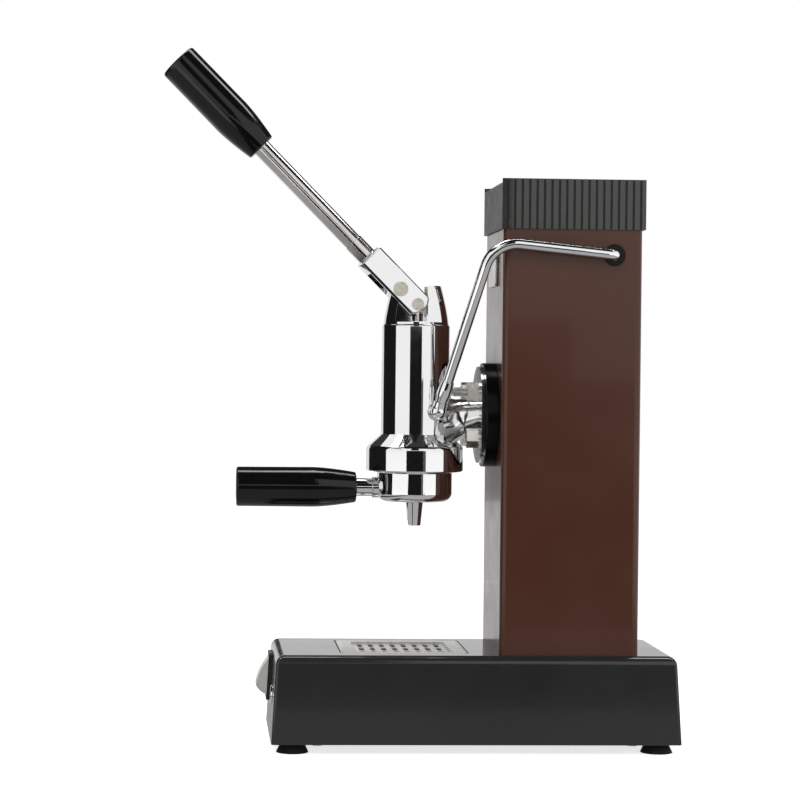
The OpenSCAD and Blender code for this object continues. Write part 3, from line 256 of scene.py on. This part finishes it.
class Finish(Shader):
    """A material round one Principled shader."""

    def __init__(self, name, colour, **sockets):
        self.material = bpy.data.materials.new(name)
        self.material.use_nodes = True
        super().__init__(self.material.node_tree)
        self.principled = self.tree.nodes["Principled BSDF"]
        self.colour = tuple(colour)
        self.set("Base Color", (*self.colour, 1))
        for key, value in sockets.items():
            self.set(key.replace("_", " ").title().replace("Ior", "IOR"), value)

    def set(self, socket, value):
        self.feed(self.principled.inputs[socket], value)

    def mottle(self, scale, low, high, detail=3, stretch=(1, 1, 1)):
        tone = self.between(self.noise(scale, detail, stretch), 0.0, 1.0)
        dark, light = ((*shaded(self.colour, factor), 1) for factor in (low, high))
        self.set("Base Color", self.blend(tone, dark, light))

    def gloss(self, scale, low, high, detail=4, stretch=(1, 1, 1)):
        self.set("Roughness", self.between(self.noise(scale, detail, stretch), low, high))

    def relief(self, scale, strength, distance, detail=2, stretch=(1, 1, 1)):
        self.set("Normal", self.bump(self.noise(scale, detail, stretch), strength, distance))


def enamel(name, colour, ior, coat, low, high):
    made = Finish(name, colour, coat_weight=coat, coat_roughness=0.05, ior=ior)
    made.mottle(scale=9, low=0.93, high=1.07)
    made.gloss(scale=35, low=low, high=high)
    made.relief(scale=420, strength=0.04, distance=0.2 * MM)
    return made.material


# Behind the barrel's back, over this stretch of Y, the plating goes from a turned face to a cast one
CAST_FROM, CAST_TO = -3 * MM, 5 * MM
CAST_BLUR = 0.06


def chrome(name, colour, roughness, neck_y=None):
    """Mirror-bright plating, which is softer behind neck_y where that is given."""
    made = Finish(name, colour, metallic=1.0)
    made.mottle(scale=14, low=0.97, high=1.0)
    blur = made.between(made.noise(scale=55, detail=4), roughness * 0.6, roughness * 1.8)
    if neck_y is not None:
        y = made.axes()[1]
        blur = blur + made.ramp(y, neck_y + CAST_FROM, neck_y + CAST_TO, 0.0, CAST_BLUR)
    made.set("Roughness", blur)
    return made.material


def threaded(name, colour, pitch):
    """Steel rod along Y with the shade of a fine thread."""
    made = Finish(name, colour, metallic=1.0)
    made.mottle(scale=45, low=0.85, high=1.05)
    made.gloss(scale=120, low=0.16, high=0.3)
    y = made.axes()[1]
    wave = made.node("ShaderNodeMath", {"operation": "SINE"}, {0: y * (FULL_TURN / pitch)})
    made.set("Normal", made.bump(wave, strength=0.5, distance=0.2 * MM))
    return made.material


def brushed(name, colour, along, low, high, metallic):
    """Metal with fine scratches along one axis: 0, 1 or 2."""
    stretch = [1.0, 1.0, 1.0]
    stretch[along] = 0.02
    made = Finish(name, colour, metallic=metallic)
    made.mottle(scale=700, low=0.92, high=1.03, detail=2, stretch=stretch)
    made.gloss(scale=900, low=low, high=high, detail=2, stretch=stretch)
    made.relief(scale=1100, strength=0.05, distance=0.1 * MM, detail=2, stretch=stretch)
    return made.material


def plastic(name, colour, rough, grain=0.12, ior=1.4):
    made = Finish(name, colour, ior=ior)
    made.mottle(scale=60, low=0.9, high=1.1)
    made.gloss(scale=180, low=rough * 0.85, high=rough * 1.2)
    made.relief(scale=2200, strength=grain, distance=0.2 * MM)
    return made.material


# Depth of the cap's grooves, measured in from the ribs' outer face
GROOVE = 2 * MM
# Where the painted shade of the cap's front corners begins and where it is full: in from the cap's sides,
# back from its front
SIDE_ZONE = (3 * MM, 2.2 * MM)
FRONT_ZONE = (10 * MM, 4 * MM)
# How much painted shade the front corners put on the ribs' painted highlight
CORNER_SHADE = 0.32
# Random unevenness of the ribs' painted tone
RIB_TONE_SPREAD = 0.06


def ribbed_plastic(name, colour, middle_y, face):
    """Plastic with painted shade in its grooves, a painted highlight on its ribs' outer faces, and painted
    shade at the front corners.
    """
    made = Finish(name, colour, ior=1.4)
    x, y = made.axes()[:2]
    out = made.larger(abs(x), abs(y - middle_y))
    front = middle_y - face
    at_side = made.ramp(abs(x), face - SIDE_ZONE[0], face - SIDE_ZONE[1])
    at_front = made.ramp(y, front + FRONT_ZONE[0], front + FRONT_ZONE[1])
    # Painted light: darker down in the grooves, paler on the ribs' outer faces, darker again near the front
    # corners
    painted_rib_light = (out - face + GROOVE) / GROOVE - at_side * at_front * CORNER_SHADE
    depth = made.between(made.noise(scale=260, detail=4), -RIB_TONE_SPREAD, RIB_TONE_SPREAD) + painted_rib_light
    made.set("Base Color", made.node("ShaderNodeValToRGB", {"stops": (
        (0.0, colour), (0.5, shaded(colour, 0.4)), (0.68, shaded(colour, 0.5)), (0.9, shaded(colour, 2.0)),
    )}, {0: depth}))
    made.gloss(scale=180, low=0.36, high=0.48)
    made.relief(scale=2200, strength=0.12, distance=0.2 * MM)
    return made.material


def gloss_resin(name, colour):
    made = Finish(name, colour, ior=1.42)
    made.mottle(scale=40, low=0.85, high=1.2)
    made.gloss(scale=70, low=0.08, high=0.14)
    made.relief(scale=160, strength=0.02, distance=0.3 * MM)
    return made.material


def rubber(name, colour):
    made = Finish(name, colour, ior=1.35)
    made.mottle(scale=120, low=0.85, high=1.2)
    made.gloss(scale=300, low=0.6, high=0.8)
    made.relief(scale=1500, strength=0.2, distance=0.2 * MM)
    return made.material


def plain_metal(name, colour, low, high):
    made = Finish(name, colour, metallic=1.0)
    made.mottle(scale=45, low=0.85, high=1.05)
    made.gloss(scale=120, low=low, high=high)
    return made.material


def worn_steel(name, colour):
    """Bare pin ends: pale, matt and blotched."""
    made = Finish(name, colour, metallic=0.45)
    made.mottle(scale=420, low=0.78, high=1.1, detail=5)
    made.gloss(scale=300, low=0.36, high=0.55)
    made.relief(scale=900, strength=0.15, distance=0.2 * MM)
    return made.material


MATERIALS = {}

# Colours that no setting changes
PIN_COLOUR = (0.68, 0.63, 0.55)
BRASS_COLOUR = (0.75, 0.56, 0.28)
COPPER_COLOUR = (0.72, 0.4, 0.26)
RUBBER_COLOUR = (0.008, 0.008, 0.008)
SMOKE_COLOUR = (0.5, 0.51, 0.48)
LENS_COLOUR = (0.05, 0.012, 0.008)


def make_finishes():
    pick = finishes()
    MATERIALS.update({
        "brown_enamel": enamel("brown_enamel", pick.column_colour, ior=1.32, coat=0.2, low=0.16, high=0.26),
        "black_enamel": enamel("black_enamel", pick.base_colour, ior=1.4, coat=0.35, low=0.1, high=0.18),
        "ribbed_plastic": ribbed_plastic(
            "ribbed_plastic", pick.plastic_colour, middle("top_cap").y, spread("top_cap").x / 2,
        ),
        "dark_plastic": plastic("dark_plastic", shaded(pick.plastic_colour, 0.55), rough=0.4),
        "disc_plastic": plastic(
            "disc_plastic", shaded(pick.plastic_colour, 0.1), rough=0.2, grain=0.05, ior=1.18,
        ),
        "grip_resin": gloss_resin("grip_resin", pick.grip_colour),
        "chrome": chrome("chrome", pick.chrome_colour, pick.chrome_roughness),
        "group_chrome": chrome(
            "group_chrome", pick.chrome_colour, pick.chrome_roughness,
            neck_y=middle("group_cap").y + spread("group_cap").y / 2,
        ),
        "stud_thread": threaded("stud_thread", pick.steel_colour, details().thread_pitch),
        "nut_steel": plain_metal("nut_steel", shaded(pick.steel_colour, 1.2), low=0.2, high=0.3),
        "lever_steel": plain_metal("lever_steel", shaded(pick.steel_colour, 1.1), low=0.1, high=0.16),
        "tray_steel": brushed(
            "tray_steel", shaded(pick.steel_colour, 0.9), along=0, low=0.24, high=0.38, metallic=0.4,
        ),
        "badge_steel": plain_metal("badge_steel", pick.steel_colour, low=0.24, high=0.32),
        "turned_steel": plain_metal("turned_steel", pick.steel_colour, low=0.14, high=0.26),
        "pin_steel": worn_steel("pin_steel", PIN_COLOUR),
        "brass": plain_metal("brass", BRASS_COLOUR, low=0.22, high=0.4),
        "copper": plain_metal("copper", COPPER_COLOUR, low=0.25, high=0.45),
        "black_rubber": rubber("black_rubber", RUBBER_COLOUR),
        "smoke_plastic": plastic("smoke_plastic", SMOKE_COLOUR, rough=0.22, grain=0.03),
        "dark_lens": gloss_resin("dark_lens", LENS_COLOUR),
    })


# Modelling

# Vertices of a CAD mesh closer than this are one
MERGE = 0.002 * MM
# Faces of a CAD mesh that meet at less than this are one
FLAT = math.radians(0.2)
# Edges sharper than this, in radians, belong to an outline
BASE_SHARP = 0.3
CHEEK_SHARP = 0.5
# How far from the base's sides its upright corners can lie
CORNER_ZONE = Vector((8, 11, 0)) * MM
# Least share of rise in the length of an upright corner's edge
STEEP = 0.2
# Faces across a rounded corner
ROUND_STEPS = 5
# A vertex lies on a face if it is nearer than this
ON_FACE = 0.05 * MM
# Room round a pin's head that still belongs to its hole
HOLE_ROOM = 0.5 * MM
# Radius round the neck, as a share of the disc's diameter
NECK_REACH = 0.22
# Weight of broad faces over small ones in the normals; 50 is neutral
FLAT_WEIGHT = 80
# Edges that bend more than this stay sharp in the shading, and are rounded
SHARP = math.radians(30)


def new_piece(node, finish, mesh):
    piece = bpy.data.objects.new(node + "_skin", mesh)
    bpy.context.scene.collection.objects.link(piece)
    mesh.materials.append(MATERIALS[finish])
    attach(piece, BODY_OF[node])
    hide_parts(node)
    return piece


def finish_mesh(bm, name):
    """Makes a mesh whose faces are smooth except across sharp edges."""
    for face in bm.faces:
        face.smooth = True
    for edge in bm.edges:
        edge.smooth = len(edge.link_faces) == 2 and edge.calc_face_angle(0) < SHARP
    mesh = bpy.data.meshes.new(name)
    bm.to_mesh(mesh)
    bm.free()
    return mesh


def soften(piece, width, segments):
    """Rounds a piece's edges and keeps its broad faces flat."""
    bevel = piece.modifiers.new("edges", "BEVEL")
    bevel.width = width
    bevel.segments = segments
    bevel.limit_method = "ANGLE"
    bevel.angle_limit = SHARP
    bevel.use_clamp_overlap = True
    bevel.harden_normals = False
    normals = piece.modifiers.new("flat_faces", "WEIGHTED_NORMAL")
    normals.keep_sharp = True
    normals.weight = FLAT_WEIGHT


def round_corners(bm, width):
    """Rounds the upright corners of the base."""
    half = spread("base_shell") / 2 - CORNER_ZONE
    corners = []
    for edge in bm.edges:
        outside = all(abs(v.co.x) > half.x and abs(v.co.y) > half.y for v in edge.verts)
        steep = abs((edge.verts[0].co - edge.verts[1].co).z) > STEEP * edge.calc_length()
        if outside and steep and edge.calc_face_angle(0) > BASE_SHARP:
            corners.append(edge)
    bmesh.ops.bevel(
        bm, geom=corners, offset=width, affect="EDGES", segments=ROUND_STEPS, profile=0.5, material=-1,
        clamp_overlap=True,
    )


def round_cheeks(bm, width):
    """Rounds the outline of the fork's two outer faces, and leaves the pins' holes sharp."""
    face = spread("lever_fork").x / 2
    pins = [(middle(node), spread(node).y / 2 + HOLE_ROOM) for node in ("fulcrum_pin", "rod_pin")]
    outline = []
    for edge in bm.edges:
        ends = [v.co for v in edge.verts]
        outside = all(abs(abs(end.x) - face) < ON_FACE for end in ends)
        in_hole = any((ends[0] - centre).yz.length < radius for centre, radius in pins)
        if outside and not in_hole and edge.calc_face_angle(0) > CHEEK_SHARP:
            outline.append(edge)
    bmesh.ops.bevel(
        bm, geom=outline, offset=width, affect="EDGES", segments=ROUND_STEPS, profile=0.5, material=-1,
        clamp_overlap=False,
    )


def taper_neck(bm, factor):
    """Narrows the group's neck where it meets the flange."""
    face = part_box("flange_nuts")[1][1]
    centre = middle("insulating_disc")
    neck = spread("insulating_disc").z * NECK_REACH
    for vert in bm.verts:
        out = (vert.co - centre).xz
        if abs(vert.co.y - face) < ON_FACE and out.length < neck:
            vert.co.x = centre.x + out.x * factor
            vert.co.z = centre.z + out.y * factor


def dressed(node, finish, edge=None, segments=3, reshape=None):
    """A merged, smooth copy of a CAD node that stands for it."""
    bm = bmesh.new()
    bm.from_mesh(NODES[node].data)
    bmesh.ops.remove_doubles(bm, verts=bm.verts, dist=MERGE)
    bmesh.ops.dissolve_limit(bm, angle_limit=FLAT, verts=bm.verts, edges=bm.edges)
    if reshape:
        reshape(bm)
    piece = new_piece(node, finish, finish_mesh(bm, node + "_skin"))
    width = details().edge if edge is None else edge
    if width:
        soften(piece, width, segments)
    return piece


def painted(node, finish):
    """A CAD node that stays as it is, with a finish."""
    data = NODES[node].data
    data.materials.clear()
    data.materials.append(MATERIALS[finish])


# Operators


class EnamelShells(bpy.types.Operator):
    """Column, base and the bare plate on the column"""

    bl_idname = "espresso.enamel_shells"
    bl_label = "Column and base"

    def execute(self, context):
        dressed(
            "base_shell", "black_enamel", edge=0.4 * MM,
            reshape=lambda bm: round_corners(bm, width=2.2 * MM),
        )
        dressed("column_shell", "brown_enamel", edge=0.4 * MM)
        dressed("badge_plate", "badge_steel", edge=0.5 * MM)
        return {"FINISHED"}


class TopCap(bpy.types.Operator):
    """Ribbed cap with its tray"""

    bl_idname = "espresso.top_cap"
    bl_label = "Top cap"

    def execute(self, context):
        dressed("top_cap", "ribbed_plastic", edge=0.25 * MM, segments=2)
        return {"FINISHED"}


class BaseFittings(bpy.types.Operator):
    """Feet, bottom plate, screws and cord hole"""

    bl_idname = "espresso.base_fittings"
    bl_label = "Base fittings"

    def execute(self, context):
        dressed("bottom_plate", "dark_plastic")
        dressed("bottom_screws", "turned_steel")
        dressed("column_screws", "turned_steel")
        dressed("cord_gland", "dark_plastic", edge=0.6 * MM)
        for node in ("foot_front_left", "foot_front_right", "foot_rear_left", "foot_rear_right"):
            dressed(node, "black_rubber", edge=0.5 * MM)
        painted("terminal_block", "smoke_plastic")
        painted("pressure_switch", "turned_steel")
        painted("sense_pipe", "copper")
        return {"FINISHED"}


class DripTray(bpy.types.Operator):
    """Pan and slotted grid"""

    bl_idname = "espresso.drip_tray"
    bl_label = "Drip tray"

    def execute(self, context):
        dressed("drip_pan", "tray_steel")
        dressed("drip_grid", "tray_steel", edge=0.25 * MM, segments=2)
        return {"FINISHED"}


class SwitchAndLamp(bpy.types.Operator):
    """Rocker switch and pilot lamp on the front"""

    bl_idname = "espresso.switch_and_lamp"
    bl_label = "Switch and lamp"

    def execute(self, context):
        dressed("switch_housing", "dark_plastic", edge=0.5 * MM)
        dressed("rocker", "smoke_plastic", edge=1.2 * MM, segments=5)
        dressed("lamp_ring", "chrome", edge=0.4 * MM)
        dressed("lamp_lens", "dark_lens", edge=0.8 * MM)
        return {"FINISHED"}


class TransferPipe(bpy.types.Operator):
    """Chrome pipe from the column to the group, with its nuts and grommet"""

    bl_idname = "espresso.transfer_pipe"
    bl_label = "Transfer pipe"

    def execute(self, context):
        dressed("transfer_pipe", "chrome", edge=0)
        dressed("group_pipe_nut", "chrome", edge=0.3 * MM)
        dressed("pipe_grommet", "black_rubber", edge=0.6 * MM)
        painted("boiler_pipe_nut", "brass")
        return {"FINISHED"}


class LeverGroup(bpy.types.Operator):
    """Barrel, bell, neck, cap, disc, studs and nuts"""

    bl_idname = "espresso.lever_group"
    bl_label = "Group"

    def execute(self, context):
        dressed("group_body", "group_chrome", edge=0.5 * MM, reshape=lambda bm: taper_neck(bm, factor=0.78))
        dressed("group_cap", "chrome", edge=0.4 * MM)
        dressed("insulating_disc", "disc_plastic", edge=1.4 * MM, segments=5)
        dressed("flange_nuts", "nut_steel", edge=0.5 * MM)
        dressed("flange_studs", "stud_thread", edge=0.5 * MM)
        return {"FINISHED"}


# Gap that the lifted piston leaves below the squeezed spring
SPRING_ROOM = 0.3 * MM


class BrewingParts(bpy.types.Operator):
    """Piston, rod, seals, spring, screen and gasket"""

    bl_idname = "espresso.brewing_parts"
    bl_label = "Brewing parts"

    def execute(self, context):
        dressed("piston_rod", "turned_steel")
        dressed("shower_screen", "turned_steel", edge=0)
        painted("piston", "brass")
        painted("piston_seals", "black_rubber")
        painted("group_gasket", "black_rubber")
        spring = dressed("main_spring", "turned_steel", edge=0)
        top = middle("main_spring")
        top.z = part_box("main_spring")[1][2]
        slide = next(j for j in FRAME["record"]["behaviour"]["joints"] if j["name"] == "piston_slide")
        length = spread("main_spring").z
        left = length - slide["range_m"][1] - SPRING_ROOM
        left / length
        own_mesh(spring)
        return {"FINISHED"}


class Portafilter(bpy.types.Operator):
    """Cup, basket, spout, stem and grip"""

    bl_idname = "espresso.portafilter"
    bl_label = "Portafilter"

    def execute(self, context):
        dressed("portafilter_cup", "chrome", edge=0.5 * MM)
        dressed("filter_basket", "turned_steel", edge=0)
        dressed("spout", "chrome", edge=0.4 * MM)
        dressed("portafilter_stem", "chrome", edge=0.4 * MM)
        dressed("portafilter_grip", "grip_resin", edge=0.6 * MM)
        painted("basket_clip", "turned_steel")
        return {"FINISHED"}


class Lever(bpy.types.Operator):
    """Fork, pins, ferrule, tube and grip"""

    bl_idname = "espresso.lever"
    bl_label = "Lever"

    def execute(self, context):
        dressed("lever_fork", "chrome", edge=0.2 * MM, reshape=lambda bm: round_cheeks(bm, width=1.8 * MM))
        dressed("lever_ferrule", "lever_steel", edge=0.25 * MM)
        dressed("lever_tube", "lever_steel", edge=0.4 * MM)
        dressed("lever_grip", "grip_resin", edge=0.6 * MM)
        dressed("fulcrum_pin", "pin_steel", edge=0.25 * MM)
        dressed("rod_pin", "pin_steel", edge=0.25 * MM)
        return {"FINISHED"}


class BoilerParts(bpy.types.Operator):
    """Boiler and the fittings inside the column"""

    bl_idname = "espresso.boiler_parts"
    bl_label = "Boiler"

    def execute(self, context):
        for node in ("boiler", "element_flange", "safety_valve"):
            painted(node, "brass")
        painted("heating_element", "copper")
        painted("element_bolts", "turned_steel")
        painted("filler_gasket", "black_rubber")
        dressed("filler_cap", "dark_plastic", edge=0.6 * MM)
        return {"FINISHED"}


# Stage

CAMERA_PLACE = Vector((1.6093, -0.1944, 0.2646))
CAMERA_YAW = math.radians(3.117)
CAMERA_PITCH = math.radians(-0.450)
CAMERA_ROLL = math.radians(0.587)
CAMERA_LENS = 103.456
CAMERA_SENSOR = 36
CAMERA_NEAR = 0.05
CAMERA_SHIFT = (0.1, -0.0215)

# Strength of the white world as a light, and where it is seen or mirrored
SKY_LIGHT, SKY_SEEN = 0.42, 1.0
FLOOR_RADIUS = 6
FLOOR_SIDES = 64
FLOOR_SHADE = 0.8
FLOOR_GLOW = 0.75

# Name, place, target, size, watts, and whether mirrors show it
SOFTBOXES = (
    ("key", (1.3, -0.7, 1.4), (0, -0.02, 0.2), (1.1, 1.1), 14, False),
    ("fill", (1.3, 1.1, 0.9), (0, 0.02, 0.2), (0.9, 1.2), 6, False),
    ("top", (-0.24, 0.1, 1.3), (-0.24, 0.1, 0.1), (0.28, 1.5), 10, True),
)

# Name, low corner, high corner and glow
CARDS = (
    ("card_floor", (-0.45, -0.9, 0.0005), (0.9, 0.9, 0.0006), 0.42),
    ("card_far", (-1.19, -1.5, 0.0005), (-0.45, 1.5, 0.0006), 0.8),
    ("card_near", (0.78, -0.42, 0.0007), (1.0, 0.34, 0.0008), 0.01),
    ("card_left", (-0.44, -0.415, 0.0007), (0.77, -0.3, 0.0008), 0.02),
    ("card_back", (-1.2, -1.5, 0.001), (-1.199, 1.5, 0.6), 0.8),
    ("card_patch", (-1.19, -0.27, 0.1), (-1.189, -0.13, 0.27), 0.02),
    ("card_behind", (-1.2, -1.5, 0.6), (-1.199, 1.5, 1.6), 0.04),
    ("card_low", (1.0, -0.506, 0.001), (1.001, 0.219, 0.316), 0.01),
    ("card_sill", (0.999, 0.219, 0.001), (1.0, 0.45, 0.1), 0.01),
    ("card_dim", (1.0, 0.22, 0.001), (1.001, 0.33, 0.25), 0.1),
    ("card_high", (1.0, -0.3, 0.43), (1.001, 0.05, 1.3), 0.01),
    ("card_ceiling", (0.08, -0.6, 1.31), (1.0, 1.0, 1.311), 0.01),
    ("card_overhead", (-1.1, -0.5, 1.31), (0.08, 1.2, 1.311), 0.04),
    ("card_front", (-1.16, -0.851, 0.001), (0.2, -0.85, 1.3), 0.01),
    ("card_brow", (0.2, -0.851, 0.9), (1.0, -0.85, 1.3), 0.01),
)


def add_camera():
    """Camera at the photograph's place: yaw, pitch and roll are small turns from a look along -X."""
    forward = Vector((
        -math.cos(CAMERA_PITCH) * math.cos(CAMERA_YAW),
        math.cos(CAMERA_PITCH) * math.sin(CAMERA_YAW),
        math.sin(CAMERA_PITCH),
    ))
    side = forward.cross(Vector((0, 0, 1))).normalized()
    up = side.cross(forward)
    right = math.cos(CAMERA_ROLL) * side + math.sin(CAMERA_ROLL) * up
    top = math.cos(CAMERA_ROLL) * up - math.sin(CAMERA_ROLL) * side
    data = bpy.data.cameras.new("camera")
    data.lens = CAMERA_LENS
    data.sensor_width = CAMERA_SENSOR
    data.shift_x, data.shift_y = CAMERA_SHIFT
    data.clip_start = CAMERA_NEAR
    camera = bpy.data.objects.new("camera", data)
    bpy.context.scene.collection.objects.link(camera)
    turn = Matrix((right, top, -forward)).transposed().to_4x4()
    camera.matrix_world = Matrix.Translation(CAMERA_PLACE) @ turn
    bpy.context.scene.camera = camera


def add_softbox(name, place, target, size, power, mirrored):
    data = bpy.data.lights.new(name, "AREA")
    data.shape = "RECTANGLE"
    data.size, data.size_y = size
    data.energy = power
    lamp = bpy.data.objects.new(name, data)
    lamp.location = place
    lamp.visible_glossy = mirrored
    look = Vector(target) - Vector(place)
    lamp.rotation_euler = look.to_track_quat("-Z", "Y").to_euler()
    bpy.context.scene.collection.objects.link(lamp)


def matt(name, shade, roughness):
    """Finish of the stage: grey without gloss, ready for a white glow."""
    return Finish(
        name, (shade, shade, shade), roughness=roughness, specular_ior_level=0, emission_color=(1, 1, 1, 1),
    )


def add_card(name, low, high, glow):
    """Card that only shows in reflections: a box that is flat along one axis, of an even brightness."""
    low, high = Vector(low), Vector(high)
    bm = bmesh.new()
    bmesh.ops.create_cube(bm, size=1)
    bmesh.ops.scale(bm, vec=high - low, verts=bm.verts)
    bmesh.ops.translate(bm, vec=(low + high) / 2, verts=bm.verts)
    mesh = bpy.data.meshes.new(name)
    bm.to_mesh(mesh)
    bm.free()
    card = bpy.data.objects.new(name, mesh)
    bpy.context.scene.collection.objects.link(card)
    paper = matt(name, shade=0, roughness=1)
    paper.set("Emission Strength", glow)
    mesh.materials.append(paper.material)
    card.visible_camera = False
    card.visible_diffuse = False
    card.visible_shadow = False
    card.visible_transmission = False


def seen_directly(shader):
    """1 for rays that should meet the white background: camera, mirror and glass rays."""
    camera, mirror, glass = (
        shader.node("ShaderNodeLightPath", output=rays)
        for rays in ("Is Camera Ray", "Is Glossy Ray", "Is Transmission Ray")
    )
    return shader.larger(shader.larger(camera, mirror), glass)


def add_sky():
    """White world that lights the scene less than it shows."""
    world = bpy.data.worlds.new("studio")
    world.use_nodes = True
    bpy.context.scene.world = world
    sky = Shader(world.node_tree)
    back = world.node_tree.nodes["Background"]
    sky.feed(back.inputs["Color"], (1, 1, 1, 1))
    sky.feed(back.inputs["Strength"], sky.between(seen_directly(sky), SKY_LIGHT, SKY_SEEN))


def add_floor():
    """Round pale floor that glows a little where it is seen."""
    bm = bmesh.new()
    bmesh.ops.create_circle(bm, cap_ends=True, radius=FLOOR_RADIUS, segments=FLOOR_SIDES)
    mesh = bpy.data.meshes.new("floor")
    bm.to_mesh(mesh)
    bm.free()
    floor = bpy.data.objects.new("floor", mesh)
    bpy.context.scene.collection.objects.link(floor)
    pale = matt("pale_floor", FLOOR_SHADE, roughness=0.9)
    pale.set("Emission Strength", seen_directly(pale) * FLOOR_GLOW)
    mesh.materials.append(pale.material)


class Studio(bpy.types.Operator):
    """Pale floor, white background, soft lamps, cards for reflections and the camera"""

    bl_idname = "espresso.studio"
    bl_label = "Studio"

    def execute(self, context):
        context.scene.view_settings.view_transform = "Standard"
        add_sky()
        add_floor()
        for lamp in SOFTBOXES:
            add_softbox(*lamp)
        for card in CARDS:
            add_card(*card)
        add_camera()
        return {"FINISHED"}


# Panel and run

PIECE_OPERATORS = (
    EnamelShells, TopCap, BaseFittings, DripTray, SwitchAndLamp, TransferPipe, LeverGroup, BrewingParts,
    Portafilter, Lever, BoilerParts,
)


class EspressoPanel(bpy.types.Panel):
    """Buttons and settings in the sidebar"""

    bl_idname = "VIEW3D_PT_espresso"
    bl_label = "Lever Espresso Machine"
    bl_space_type = "VIEW_3D"
    bl_region_type = "UI"
    bl_category = "Espresso"

    def draw(self, context):
        for group in (context.scene.espresso_finishes, context.scene.espresso_details):
            for key in group.__annotations__:
                self.layout.prop(group, key)
        for operator in (*PIECE_OPERATORS, Studio):
            self.layout.operator(operator.bl_idname)


CLASSES = (EspressoFinishes, EspressoDetails, *PIECE_OPERATORS, Studio, EspressoPanel)


def register():
    for cls in CLASSES:
        bpy.utils.register_class(cls)
    bpy.types.Scene.espresso_finishes = PointerProperty(type=EspressoFinishes)
    bpy.types.Scene.espresso_details = PointerProperty(type=EspressoDetails)


def unregister():
    del bpy.types.Scene.espresso_finishes
    del bpy.types.Scene.espresso_details
    for cls in reversed(CLASSES):
        bpy.utils.unregister_class(cls)


def main():
    register()
    make_finishes()
    for operator in (*PIECE_OPERATORS, Studio):
        family, name = operator.bl_idname.split(".")
        getattr(getattr(bpy.ops, family), name)()


if __name__ == "__main__":
    main()
